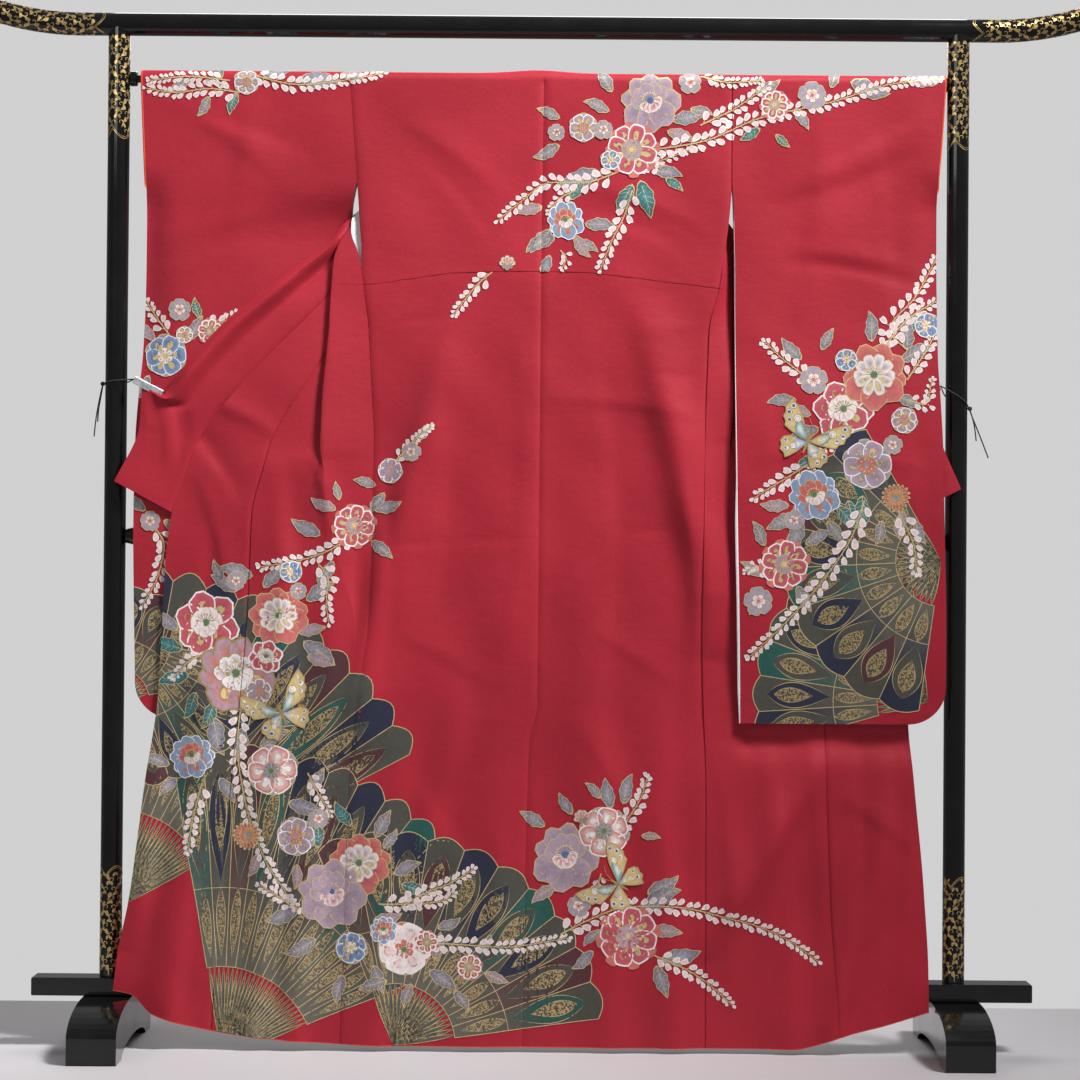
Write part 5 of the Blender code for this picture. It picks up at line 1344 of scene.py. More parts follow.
# The dyed pattern, in garlands: the panels that each is laid on, cut at their edges, then its motifs. A motif
# begins with its kind. A flower: place, radius and turn. A leaf (slate, teal or mauve): foot, length and
# heading in degrees. A strand: the size of its first bud, then its points. A butterfly: place, size and
# heading. A fan: pivot, radius, first and last angle, and blades.
GARLANDS = {
    "shoulder": ("yoke_left yoke_right sleeve_back_left sleeve_back_right", rows_of("""
    lilac_peony 186 1577 52 0.2, pink_star 155 1496 45 0.1, lilac_star 75 1531 25 0
    blue_peony 46 1377 32 0.5, pink_star 392 1573 25 0.2, small_plum 455 1589 25 0.4
    small_plum 108 1529 17 0.4, blue_star 120 1478 18 0.1, side_plum -50 1303 15 0
    lilac_star -486 1603 22 0, small_plum 252 1609 20 0.4, small_plum 30 1524 15 0.4
    slate 103 1458 77 195, teal 170 1445 67 -75, teal 157 1438 57 -110, slate 36 1502 50 200
    slate 36 1547 43 160, slate 122 1591 50 120, teal 212 1449 37 -40, slate 29 1352 57 215
    slate 63 1344 43 -30, slate 21 1319 43 250, teal 54 1411 40 60, slate 252 1565 40 -20
    slate 360 1593 47 30, teal 369 1533 40 210, slate 427 1567 43 -60, slate 518 1611 70 -12
    slate 485 1601 43 60, mauve 610 1618 70 5, teal 394 1523 33 -40, slate -547 1579 40 235
    teal -527 1609 43 120, slate -461 1616 57 10, slate -397 1610 70 -5, teal -502 1586 40 255
    slate -580 1606 43 200, mauve -331 1617 47 5, slate 222 1545 57 10, mauve 214 1528 50 -25
    slate 118 1560 47 165, slate 192 1462 50 -15, mauve 8 1400 47 195, slate 22 1362 53 232
    slate 78 1372 53 -12, mauve 60 1352 47 -48
    strand 13.7 133 1458 79 1441 20 1440 -29 1407 -66 1376
    strand 13.7 157 1428 144 1386 124 1345 105 1295
    strand 13.7 186 1495 269 1509 369 1550 485 1577 585 1608 675 1619
    strand 12.6 269 1537 327 1566 382 1606, strand 10.5 212 1470 170 1465 253 1496
    strand 9.5 269 1619 319 1609 369 1613, strand 9.5 62 1427 37 1414 17 1390
    strand 12.6 -497 1586 -547 1592 -605 1585 -654 1592
    strand 12.6 -481 1616 -397 1600 -322 1608 -258 1620, strand 10.5 -514 1606 -581 1612 -647 1605
    strand 8.4 38 1327 48 1314 41 1297
    """)),
    "below_tuck": ("skirt_left skirt_right", rows_of("""
    strand 11.6 -75 1290 -98 1270 -118 1246 -138 1219
    """)),
    "right_sleeve": ("sleeve_back_right", rows_of("""
    white_peony 509 1065 52 0.3, pink_peony 559 1122 55 0, lilac_star 547 973 43 0.1
    blue_peony 461 923 43 0.4, mum 596 920 25 0, pink_star 412 809 42 0.2, small_plum 459 1114 25 0.3
    blue_star 647 1207 23 0.2, small_plum 370 747 25 0.5, lilac_star 609 1049 23 0.3
    small_plum 428 881 18 0.1, blue_star 514 1148 20 0.4, small_plum 590 1007 17 0.2
    slate 439 1147 50 130, slate 472 1164 43 60, slate 431 1081 50 190, teal 541 923 60 -100
    teal 516 915 50 -70, slate 441 881 60 -110, slate 483 881 47 -60, mauve 607 899 50 -90
    slate 384 764 50 230, slate 433 773 50 -60, mauve 375 789 43 150, slate 614 1165 57 80
    teal 465 989 43 220, slate 597 1090 47 -30, teal 613 1190 43 60, slate 627 882 43 -60
    slate 574 882 43 250, slate 468 1035 57 205, mauve 455 1055 47 160, slate 604 1148 60 20
    slate 556 1178 53 100, mauve 420 905 50 175, slate 432 890 57 205, teal 498 905 53 -40
    slate 446 842 50 20, slate 380 838 47 120
    strand 14.7 614 1165 585 1198 629 1255 664 1319, strand 12.6 572 1162 613 1215 666 1249
    strand 13.7 464 1106 431 1131 402 1154 379 1177, strand 12.6 614 1115 647 1166 665 1199
    strand 13.7 449 973 415 951 387 934 361 917, strand 14.7 544 915 524 857 475 781 417 714 356 655
    strand 13.7 599 899 616 866 628 832 630 796, strand 9.5 392 789 367 805 348 794
    strand 9.5 498 1015 473 994 454 964, strand 10.5 614 1082 643 1074 656 1116
    butterfly 450 1011 57 65
    fan 651 583 280 98 196 8, fan 671 816 250 120 262 9
    """)),
    "left_sleeve": ("sleeve_back_left", rows_of("""
    small_plum -594 1224 20 0.3, blue_star -617 1146 37 0.1, pink_star -544 1188 22 0.1
    small_plum -638 872 18 0.3, lilac_star -585 1181 15 0
    slate -577 1173 47 60, mauve -635 1172 43 130, slate -585 1114 50 -50, slate -643 1114 43 240
    slate -645 889 43 150, mauve -616 873 43 -30, teal -561 1209 37 100
    strand 11.6 -610 1181 -631 1209 -651 1239, strand 11.6 -552 1198 -524 1203 -498 1220
    strand 12.6 -631 864 -614 831 -624 781 -650 731
    fan -692 572 186 12 88 5
    """)),
    "left_front": ("front_left overlap_left skirt_left skirt_right", rows_of("""
    small_plum -206 989 17 0.1, lilac_star -241 959 22 0.3, pink_star -300 867 37 0.2
    blue_star -404 789 20 0.1, pink_peony -422 716 50 0.3, white_peony -543 703 55 0.1
    gold_peony -493 620 67 0.4, blue_peony -563 485 37 0.2, white_star -432 461 43 0.1, mum -471 354 25 0
    lilac_star -392 353 33 0.2, pink_peony -286 309 52 0.2, lilac_peony -332 260 57 0.5
    white_plum -211 168 45 0.1, blue_star -298 171 28 0.3, pink_star -103 141 22 0.2
    white_peony -443 649 30 0.8, small_plum -494 774 17 0.2, blue_peony -245 201 23 0.6
    lilac_star -453 591 23 0.5, small_plum -354 383 17 0.4, pink_star -173 180 20 0.5
    small_plum -391 758 15 0.3
    slate -355 850 57 150, slate -271 842 47 -40, slate -250 922 43 -120, slate -196 1009 37 40
    slate -466 782 60 170, slate -491 757 53 150, slate -516 773 40 110, slate -361 795 47 -50
    slate -382 675 67 -40, mauve -376 650 50 -15, teal -569 620 57 200, teal -556 590 50 240
    slate -530 549 67 -70, slate -480 532 57 -100, slate -518 449 50 -60, slate -588 448 43 230
    teal -526 574 50 -120, slate -405 408 60 -10, slate -371 425 50 60, mauve -450 324 43 240
    teal -354 334 43 100, slate -229 293 50 20, teal -217 276 50 -20, slate -246 334 40 60
    slate -356 184 57 200, slate -311 126 50 -100, slate -261 143 50 -70, slate -169 135 57 -40
    slate -199 113 43 -100, slate -127 102 43 -60, mauve -78 131 43 -20, slate -86 164 37 60
    mauve -387 308 43 -100, slate -156 202 43 30, slate -333 808 43 240, slate -325 908 33 100
    slate -268 893 50 20, mauve -330 892 47 150, slate -264 934 40 170, teal -580 660 57 165
    slate -590 690 50 130, slate -448 762 53 60, slate -378 742 57 30, mauve -392 690 50 10
    teal -440 560 57 -20, slate -452 500 57 25, slate -600 470 47 170, slate -260 352 53 60
    slate -384 232 60 195, mauve -262 214 50 20, teal -300 370 50 120, slate -238 118 50 200
    slate -160 152 47 80
    strand 9.5 -234 972 -209 999 -193 1016 -173 1031, strand 12.6 -305 850 -341 825 -391 808 -454 797
    strand 12.6 -361 808 -341 775 -344 742 -340 705, strand 12.6 -546 440 -554 407 -562 373 -567 327
    strand 13.7 -481 591 -489 507 -474 407 -437 308 -386 233, strand 10.5 -372 458 -355 425 -334 389
    strand 12.6 -220 235 -179 260 -137 277 -97 301, strand 12.6 -186 180 -120 177 -45 174 60 189
    strand 11.6 -253 243 -203 243 -153 247 -129 260, strand 10.5 -540 657 -570 640 -596 613
    strand 10.5 -386 233 -412 250 -450 274
    butterfly -416 556 57 115
    fan -690 231 549 28 92 11, fan -509 -12 500 22 100 13, fan -227 10 341 8 112 10
    fan -670 672 233 -84 -8 7
    """)),
    "low_back": ("skirt_left skirt_right front_right", rows_of("""
    lilac_peony 54 325 57 0.1, white_star 117 366 43 0.3, pink_star 158 193 52 0.2
    small_plum 76 242 20 0.2, side_plum 82 387 15 0.4
    slate 65 392 43 120, slate 128 402 53 100, slate 112 420 37 140, slate 180 238 73 22
    slate 214 155 67 15, slate 205 146 57 -70, mauve 179 359 33 -10, slate 113 204 40 230
    slate 148 410 53 70, slate 20 372 50 150, mauve 38 276 50 220, slate 102 168 47 215
    slate 190 262 60 35, mauve 196 205 53 -8
    strand 13.7 132 349 158 388 178 421 188 453
    strand 13.7 47 195 97 221 146 239 213 243 313 227 405 198 472 154
    strand 12.6 200 163 247 143 289 117 331 81, strand 8.4 113 296 106 271 96 245
    butterfly 141 279 53 150
    """)),
    "front_sleeves": ("sleeve_front_left sleeve_front_right", rows_of("""
    white_peony -491 807 50 0.3, pink_peony -549 740 47 0, lilac_star -454 732 37 0.1
    white_peony 508 815 50 0.3, pink_peony 567 749 47 0, lilac_star 472 740 37 0.1
    slate -516 848 57 120, teal -455 849 50 60, slate -515 690 57 -100, slate -574 781 43 170
    slate 483 856 57 120, teal 544 857 50 60, slate 534 699 57 -100, slate 608 791 43 10
    strand 13.7 -516 857 -550 940 -534 1023 -493 1090, strand 12.6 -465 699 -453 657 -473 607
    strand 13.7 533 865 574 949 553 1032 506 1098, strand 12.6 484 706 473 665 493 615
    fan -622 553 183 20 110 6, fan 652 563 183 70 160 6
    """)),
}


def face(points, outward, heights, thick):
    """One face of the cloth for the drawing, its columns turned to rising x and its rows to rising height."""
    across = points[..., 0]
    rise, run = heights[-1].mean() > heights[0].mean(), across[:, -1].mean() > across[:, 0].mean()
    view = (slice(None, None, 1 if rise else -1), slice(None, None, 1 if run else -1))
    across = np.maximum.accumulate(across[view] + 1e-4 * np.arange(across.shape[1]), axis=1)
    along = np.maximum.accumulate(heights[view] + 1e-4 * np.arange(len(heights))[:, None], axis=0)
    points = (points + outward * thick / 2)[view]
    return {"points": points, "outward": outward[view], "across": across, "along": along}


def lay(cloth, places):
    """Carries flat places onto a face of the cloth, matching x and height there.

    Returns the surface points, their normals, and for each place whether it lies past an edge of the face
    (-1 or 1 across, -2 or 2 along).
    """
    across, along = cloth["across"], cloth["along"]
    rows, columns = across.shape
    x, v = places.T
    row = np.interp(v, along.mean(axis=1), np.arange(rows))
    pick = np.arange(len(x))
    for _ in range(5):
        low = np.clip(row.astype(int), 0, rows - 2)
        part = row - low
        line = across[low] * (1 - part)[:, None] + across[low + 1] * part[:, None]
        left = np.clip(np.sum(line < x[:, None], axis=1) - 1, 0, columns - 2)
        share = (x - line[pick, left]) / (line[pick, left + 1] - line[pick, left])
        past_x = np.sign(share) * ((share < 0) | (share > 1))
        share = np.clip(share, 0, 1)
        ends = [along[r, left] * (1 - share) + along[r, left + 1] * share for r in (low, low + 1)]
        here = ends[0] * (1 - part) + ends[1] * part
        row = np.clip(row + (v - here) / np.maximum(ends[1] - ends[0], 0.02), 0, rows - 1)
    past_v = np.where(v < here - 0.4, -2, np.where(v > here + 0.4, 2, 0))
    part, share = part[:, None], share[:, None]
    both = []
    for grid in (cloth["points"], cloth["outward"]):
        near = [grid[r, left] * (1 - share) + grid[r, left + 1] * share for r in (low, low + 1)]
        both.append(near[0] * (1 - part) + near[1] * part)
    return *both, past_x, past_v


def facing_out(points, outward, triangles):
    """The triangles that have an area, each turned to face the same way as the surface below it."""
    a, b, c = (points[triangles[:, k]] for k in range(3))
    normals = np.cross(b - a, c - a)
    sound = np.linalg.norm(normals, axis=1) > 2e-3
    triangles, normals = triangles[sound], normals[sound]
    away = np.sum(normals * outward[triangles[:, 0]], axis=1) < 0
    triangles[away] = triangles[away][:, ::-1]
    return triangles


def lay_drawing(name, cloth, drawing, material):
    """Lays the part of a drawing that falls on one face of the cloth, as a thin piece of its own.

    Each layer stands a little further off the cloth. Triangles that are wholly past an edge are left out, and
    those that cross it end there.
    """
    places, layers, colours, flecks, triangles = drawing.arrays()
    low = np.array((cloth["across"].min(), cloth["along"].min()))
    high = np.array((cloth["across"].max(), cloth["along"].max()))
    corners = places[triangles]
    near = np.all((corners.max(axis=1) > low) & (corners.min(axis=1) < high), axis=1)
    used, triangles = np.unique(triangles[near], return_inverse=True)
    triangles = triangles.reshape(-1, 3)
    if not len(triangles):
        return None
    points, outward, past_x, past_v = lay(cloth, places[used])
    gone = np.zeros(len(triangles), bool)
    for past, value in ((past_x, -1), (past_x, 1), (past_v, -2), (past_v, 2)):
        gone |= np.all((past == value)[triangles], axis=1)
    triangles = triangles[~gone]
    lift = bpy.context.scene.furisode_pattern.lift * 1000
    points = points + outward * (lift + LAYER_STEP * layers[used])[:, None]
    triangles = facing_out(points, outward, triangles)
    kept, triangles = np.unique(triangles, return_inverse=True)
    if not len(kept):
        return None
    made = put_mesh(name, points[kept], [triangles.reshape(-1, 3)])
    dye = made.data.color_attributes.new("dye", "FLOAT_COLOR", "POINT")
    dye.data.foreach_set("color", colours[used][kept].ravel())
    fleck = made.data.attributes.new("fleck", "FLOAT", "POINT")
    fleck.data.foreach_set("value", flecks[used][kept])
    made.data.materials.append(material)
    return made


def draw_scroll(drawing, u, v, flip, turned):
    """One unit of scrollwork: two commas, a leaf and a curl on a short stem."""
    for du, dv, length, width, way in SCROLL_PETALS:
        outline = petal_outline(length, width, 1, 0, 10)
        outline[:, 1] += 0.045 * (outline[:, 0] - length * 0.4) ** 2
        places = turn(outline, way + turned) * (flip, 1) + (u + flip * du, v + dv)
        count = len(places)
        k = np.arange(count)
        fan = np.stack([np.full(count, count), k, (k + 1) % count], -1)
        drawing.add(np.concatenate([places, places.mean(axis=0)[None]]), fan, DYE["gold"], 0)
    angle = np.linspace(0, 4.6, 15)
    curl = np.stack([np.cos(angle), np.sin(angle)], -1) * (4.6 - 0.75 * angle)[:, None]
    line = turn(np.concatenate([((4.6, -7.0), (4.9, -3.0)), curl]), turned)
    line = line * (flip, 1) + (u - flip * 4.0, v - 2.5)
    ribbon(drawing, line, np.linspace(1.5, 0.8, len(line)), "gold", 0)


def gold_band(name, where, start, stop, material):
    """Scrollwork wrapped round a bar from its plain end to a scalloped border line.

    The drawing's first axis runs round the bar and its second along it. A post's axis is upright, and the
    rail's rises towards its ends as a square of the way past its bend.
    """
    rail = where.startswith("rail")
    radius = TOP_RAIL["radius"] if rail else POST_RADIUS
    around = 2 * math.pi * radius
    sign = 1 if stop > start else -1
    drawing = Drawing()

    def border(u):
        return stop - sign * 16 * (1 - np.abs(np.sin(1.5 * u / radius + 0.6)))

    for row in range(int(abs(stop - start) / SCROLL_PITCH)):
        for k in range(SCROLL_AROUND):
            u = (k + 0.5 * (row % 2)) * around / SCROLL_AROUND
            v = start + sign * (row + 0.5) * SCROLL_PITCH
            if (border(u) - v) * sign > 8:
                draw_scroll(drawing, u, v, 1 if (k + row) % 2 else -1, 0.5 * math.sin(4.1 * row + 2.3 * k))
    u = np.linspace(0, around, 97)
    for shift, width in ((0, 1.3), (3.2, 0.7)):
        ribbon(drawing, np.stack([u, border(u) - sign * shift], -1), width, "gold", 0)
    places, _, _, _, triangles = drawing.arrays()
    turned, along = places[:, 0] / radius, places[:, 1]
    level = 0 * along
    if rail:
        past = np.clip(np.abs(along) - TOP_RAIL["bend"], 0, None) / TOP_RAIL["span"]
        centre = np.stack([along, level, TOP_RAIL["z"] + TOP_RAIL["rise"] * past**2], -1)
        slope = np.sign(along) * 2 * TOP_RAIL["rise"] * past / TOP_RAIL["span"]
        up = np.stack([-slope, level, 1 + level], -1) / np.sqrt(1 + slope**2)[:, None]
        outward = up * np.sin(turned)[:, None] - np.cos(turned)[:, None] * np.array((0, 1, 0))
    else:
        centre = np.stack([level + (POST_X if where.endswith("right") else -POST_X), level, along], -1)
        outward = np.stack([np.sin(turned), -np.cos(turned), level], -1)
    points = centre + outward * (radius + SCROLL_LIFT)
    made = put_mesh(name, points, [facing_out(points, outward, triangles)])
    made.data.materials.append(material)
    return made


def levels_of(flowers):
    """A level for each flower, one more than that of any earlier flower that it overlaps."""
    levels = []
    for number, (_, x, z, radius, _) in enumerate(flowers):
        under = [
            levels[k] + 1
            for k in range(number)
            if math.hypot(x - flowers[k][1], z - flowers[k][2]) < 0.95 * (radius + flowers[k][3])
        ]
        levels.append(max(under, default=0))
    return levels


def draw_garland(motifs):
    """The drawing of one garland: fans lowest, then leaves, strands, flowers and butterflies."""
    drawing = Drawing()
    names = "fan", "strand", "butterfly"
    fans, strands, butterflies = ([m[1:] for m in motifs if m[0] == name] for name in names)
    leaves, flowers = ([m for m in motifs if m[0] in kinds] for kinds in (LEAF_KINDS, FLOWERS))
    for number, fan in enumerate(fans):
        draw_fan(drawing, *fan, FAN_STEP * number, number)
    for number, (*leaf, angle) in enumerate(leaves):
        layer = LEAF_LAYER + LEAF_STEP * (number % 4)
        draw_leaf(drawing, *leaf, math.radians(angle), layer, bend=0.3 * math.sin(2.4 * number + 0.5))
    for number, (bud, *line) in enumerate(strands):
        layer = STRAND_LAYER + STRAND_STEP * (number % 2)
        draw_strand(drawing, np.reshape(line, (-1, 2)), bud, layer, 1 if number % 2 else -1)
    for flower, level in zip(flowers, levels_of(flowers)):
        draw_flower(drawing, *flower, FLOWER_LAYER + FLOWER_STEP * level)
    for *butterfly, angle in butterflies:
        draw_butterfly(drawing, *butterfly, math.radians(angle), BUTTERFLY_LAYER)
    return drawing


def cloth_faces():
    """Every face of the cloth that a garland can lie on, by name."""
    thick = bpy.context.scene.furisode_cloth.thickness / MM
    faces = {}

    def put(name, grid, outward, start=0, stop=None, heights=None):
        rows = slice(start, stop)
        heights = grid[..., 2] if heights is None else heights
        faces[name] = face(grid[rows], outward[rows], heights[rows], thick)

    for side, word in SIDES:
        grid, outward, run = body_sheet(side)
        count = int(np.argmax(run > RAIL_Z))
        heights = run[:, None] + 0 * grid[..., 0]
        heights[:count] = grid[:count, :, 2]
        split = int(np.argmax(run[:count] > BACK_TUCK_Z))
        low = int(np.argmax(run > FRONT_RUN - FRONT_OPEN_Z))
        put("yoke_" + word, grid, outward, split, count + OVER_HALF, heights)
        put("skirt_" + word, grid, outward, 0, split)
        put("front_" + word, grid, outward, low)
        put("overlap_" + word, *overlap_sheet(side)[:2])
        grid, outward, run = sleeve_sheet(side)
        heights = run[:, None] + 0 * grid[..., 0]
        count = int(np.argmax(run > RAIL_Z))
        put("sleeve_back_" + word, grid, outward, 0, count + OVER_HALF, heights)
        put("sleeve_front_" + word, grid, outward, count + OVER_ROWS + 1)
    return faces


def scaled(colour, share):
    """A colour made darker or lighter."""
    return tuple(c * share for c in colour)


class Finish:
    """A material while it is built. Its methods add a node and give back its output."""

    def __init__(self, name):
        self.material = bpy.data.materials.new(name)
        self.material.use_nodes = True
        self.tree = self.material.node_tree
        self.place = self.node("TexCoord", "Object")

    def join(self, given, target):
        """Joins an output to an input, or sets the input to a value."""
        if isinstance(given, bpy.types.NodeSocket):
            self.tree.links.new(given, target)
        else:
            target.default_value = (*given[:3], 1) if target.type == "RGBA" else given

    def node(self, kind, output, inputs=(), **settings):
        made = self.tree.nodes.new("ShaderNode" + kind)
        for key, setting in settings.items():
            setattr(made, key, setting)
        for key, given in dict(inputs).items():
            self.join(given, made.inputs[key])
        return made.outputs[output]

    def noise(self, scale, detail, roughness=0.5, place=None):
        inputs = {"Scale": scale, "Detail": detail, "Roughness": roughness}
        return self.node("TexNoise", "Fac", {"Vector": self.place if place is None else place, **inputs})

    def ramp(self, share, *stops):
        """A colour ramp with the given stops of position and colour."""
        made = self.node("ValToRGB", "Color", {"Fac": share})
        for element, (position, colour) in zip(made.node.color_ramp.elements, stops, strict=True):
            element.position, element.color = position, (*colour[:3], 1)
        return made

    def mix(self, share, first, second, blend="MIX"):
        """A blend of two colours. Each may be a colour or an output."""
        return self.node("Mix", 2, {"Factor": share, 6: first, 7: second}, data_type="RGBA", blend_type=blend)

    def math(self, operation, first, second, clamp=False):
        return self.node("Math", "Value", {0: first, 1: second}, operation=operation, use_clamp=clamp)

    def span(self, given, low, high, start, stop):
        """Carries the range from low to high onto that from start to stop."""
        inputs = {"Value": given, "From Min": low, "From Max": high, "To Min": start, "To Max": stop}
        return self.node("MapRange", "Result", inputs)

    def bump(self, strength, distance, height, over=()):
        inputs = {"Strength": strength, "Distance": distance, "Height": height, **dict(over)}
        return self.node("Bump", "Normal", inputs)

    def crepe(self, strength):
        """The bump of crepe silk: fine uneven grains drawn out across the cloth, over soft puckers."""
        place = self.node("Mapping", "Vector", {"Vector": self.place, "Scale": (1.0, 1.0, 1.5)})
        grain = self.bump(strength, 0.0004, self.noise(620.0, 2.0, place=place))
        return self.bump(strength * 0.7, 0.0022, self.noise(42.0, 3.0, place=place), {"Normal": grain})

    def done(self, inputs):
        """Sets the shader's inputs and gives the finished material."""
        for key, given in inputs.items():
            self.join(given, self.tree.nodes["Principled BSDF"].inputs[key])
        return self.material


def silk_material(name, colour, lining=None):
    """Crepe silk: a slow change of depth in its colour, the crepe bump, a matt shine and a soft sheen.

    A lining colour gives the inner face: plain above and the outer colour from the hem to LINING_EDGE_Z.
    """
    silk = Finish(name)
    slow = silk.noise(2.6, 4.0, 0.6)
    base = silk.ramp(slow, (0.3, scaled(colour, 0.84)), (0.72, scaled(colour, 1.12)))
    weave = silk.ramp(silk.noise(260.0, 2.0), (0.35, scaled(WHITE, 0.4)), (0.7, WHITE))
    base = silk.mix(0.16, base, weave, "MULTIPLY")
    if lining:
        height = silk.node("SeparateXYZ", "Z", {"Vector": silk.place})
        wavy = silk.math("ADD", height, silk.math("MULTIPLY", slow, 0.02))
        edge = silk.math("GREATER_THAN", wavy, LINING_EDGE_Z * MM)
        base = silk.mix(edge, base, silk.ramp(slow, (0.3, scaled(lining, 0.93)), (0.7, lining)))
    return silk.done({
        "Base Color": base, "Roughness": silk.span(slow, 0.3, 0.7, 0.52, 0.66), "Normal": silk.crepe(0.35),
        "Sheen Weight": 0.1, "Sheen Roughness": 0.4, "Sheen Tint": SHEEN_COLOUR, "Specular IOR Level": 0.26,
    })


def dyed_material(name):
    """Dye and gold leaf on crepe silk, from the drawing's own colours.

    The dye is slightly uneven, gold is metal with small breaks, and the flecks are gold grains on the dye.
    """
    dyed = Finish(name)
    dye = dyed.node("Attribute", "Color", attribute_name="dye")
    fleck = dyed.node("Attribute", "Fac", attribute_name="fleck")
    uneven = dyed.ramp(dyed.noise(160.0, 3.0), (0.3, scaled(WHITE, 0.78)), (0.7, WHITE))
    grains = dyed.math("GREATER_THAN", dyed.noise(330.0, 2.0, 0.7), 0.5)
    leaf = dyed.math("MULTIPLY", grains, fleck)
    gold = dyed.math("MAXIMUM", dye.node.outputs["Alpha"], leaf, True)
    base = dyed.mix(1.0, dye, uneven, "MULTIPLY")
    return dyed.done({
        "Base Color": dyed.mix(leaf, base, bpy.context.scene.furisode_pattern.gold),
        "Metallic": dyed.math("MULTIPLY", gold, 0.75),
        "Roughness": dyed.math("SUBTRACT", 0.62, dyed.math("MULTIPLY", gold, 0.2)),
        "Normal": dyed.crepe(0.3), "Sheen Weight": 0.08,
    })


def lacquer_material(name, colour):
    """Black lacquer: a deep gloss with a slight long wave, fine dust and faint wear in its shine."""
    lacquer = Finish(name)
    wave = lacquer.noise(14.0, 2.0)
    dust = lacquer.math("GREATER_THAN", lacquer.noise(900.0, 1.0), 0.74)
    base = lacquer.ramp(wave, (0.3, colour), (0.75, scaled(colour, 1.7)))
    return lacquer.done({
        "Base Color": lacquer.mix(dust, base, DUST_COLOUR), "Normal": lacquer.bump(0.12, 0.0008, wave),
        "Roughness": lacquer.span(wave, 0.35, 0.7, 0.1, 0.2), "Specular IOR Level": 0.26,
        "Coat Weight": 0.4, "Coat Roughness": 0.05,
    })


def metal_material(name, colour, rough, grain):
    """Gold leaf or satin metal: metal with a fine unevenness in its colour and shine."""
    metal = Finish(name)
    uneven = metal.noise(grain, 3.0)
    return metal.done({
        "Base Color": metal.ramp(uneven, (0.3, scaled(colour, 0.72)), (0.68, colour)),
        "Roughness": metal.span(uneven, 0.3, 0.7, rough, rough + 0.16),
        "Normal": metal.bump(0.15, 0.0004, uneven), "Metallic": 0.85,
    })


def cord_material(name, colour):
    """Matt cord: slanting strands from a wave along each piece."""
    cord = Finish(name)
    tilted = cord.node("Mapping", "Vector", {"Vector": cord.place, "Rotation": (0, math.radians(38), 0)})
    wave = {"Vector": tilted, "Scale": 260.0, "Distortion": 1.0, "Detail": 1.0}
    strands = cord.node("TexWave", "Fac", wave)
    return cord.done({
        "Base Color": cord.ramp(strands, (0.1, scaled(colour, 0.5)), (0.9, scaled(colour, 1.8))),
        "Normal": cord.bump(0.5, 0.0004, strands), "Roughness": 0.78, "Sheen Weight": 0.2,
    })


def floor_material(name, colour):
    """A pale matt floor with a hardly visible change in its tone."""
    floor = Finish(name)
    base = floor.ramp(floor.noise(1.3, 3.0), (0.3, scaled(colour, 0.96)), (0.7, colour))
    return floor.done({"Base Color": base, "Roughness": 0.6})


def shared(name, make, *args):
    """The material of that name, made on first use."""
    return bpy.data.materials.get(name) or make(name, *args)


def silk():
    return shared("red_crepe_silk", silk_material, tuple(bpy.context.scene.furisode_cloth.silk))


def lined():
    colours = bpy.context.scene.furisode_cloth
    return shared("silk_lining", silk_material, tuple(colours.silk), tuple(colours.lining))


def plain_lining():
    return shared("plain_lining", silk_material, tuple(bpy.context.scene.furisode_cloth.lining))


def edging():
    return shared("edging_silk", silk_material, tuple(bpy.context.scene.furisode_cloth.edging))


def cad_material(node, material):
    """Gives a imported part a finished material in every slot."""
    slots = frame["nodes"][node].material_slots
    for slot in slots:
        slot.material = material


def settle(made, slot, *nodes):
    """A finished piece: it rides with the object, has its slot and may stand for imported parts."""
    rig.ride(made, "root")
    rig.slot(made, slot)
    if nodes:
        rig.replaces(made, *nodes)
    return made


class FurisodeCloth(bpy.types.PropertyGroup):
    """Sizes and colours of the cloth."""

    thickness: bpy.props.FloatProperty(
        name="Thickness", description="Silk and lining together", default=0.0013, unit="LENGTH")
    collar_thickness: bpy.props.FloatProperty(
        name="Collar thickness", description="Folded collar band", default=0.003, unit="LENGTH")
    crease_depth: bpy.props.FloatProperty(
        name="Crease depth", description="Scale of the creases and the unevenness", default=1.9)
    silk: bpy.props.FloatVectorProperty(
        name="Silk", description="Outer silk", default=(0.395, 0.015, 0.031), subtype="COLOR", size=3)
    edging: bpy.props.FloatVectorProperty(
        name="Edging", description="Rolled edges", default=(0.72, 0.075, 0.03), subtype="COLOR", size=3)
    lining: bpy.props.FloatVectorProperty(
        name="Lining", description="Inner silk", default=(0.82, 0.8, 0.8), subtype="COLOR", size=3)


class FurisodePattern(bpy.types.PropertyGroup):
    """The dyed pattern."""

    lift: bpy.props.FloatProperty(
        name="Lift", description="Gap from the cloth to the lowest layer", default=0.00045, unit="LENGTH")
    gold: bpy.props.FloatVectorProperty(
        name="Gold", description="Gold leaf on the silk", default=(0.62, 0.45, 0.2), subtype="COLOR", size=3)


class FurisodeStand(bpy.types.PropertyGroup):
    """The stand's finish."""

    lacquer: bpy.props.FloatVectorProperty(
        name="Lacquer", description="Black lacquer", default=(0.0035, 0.0035, 0.004), subtype="COLOR", size=3)
    gold: bpy.props.FloatVectorProperty(
        name="Gold", description="Gold scrollwork", default=(0.83, 0.58, 0.24), subtype="COLOR", size=3)
    cord: bpy.props.FloatVectorProperty(
        name="Cord", description="Ties of the clips", default=(0.012, 0.012, 0.013), subtype="COLOR", size=3)
    clip: bpy.props.FloatVectorProperty(
        name="Clip", description="Satin clips", default=(0.8, 0.82, 0.84), subtype="COLOR", size=3)


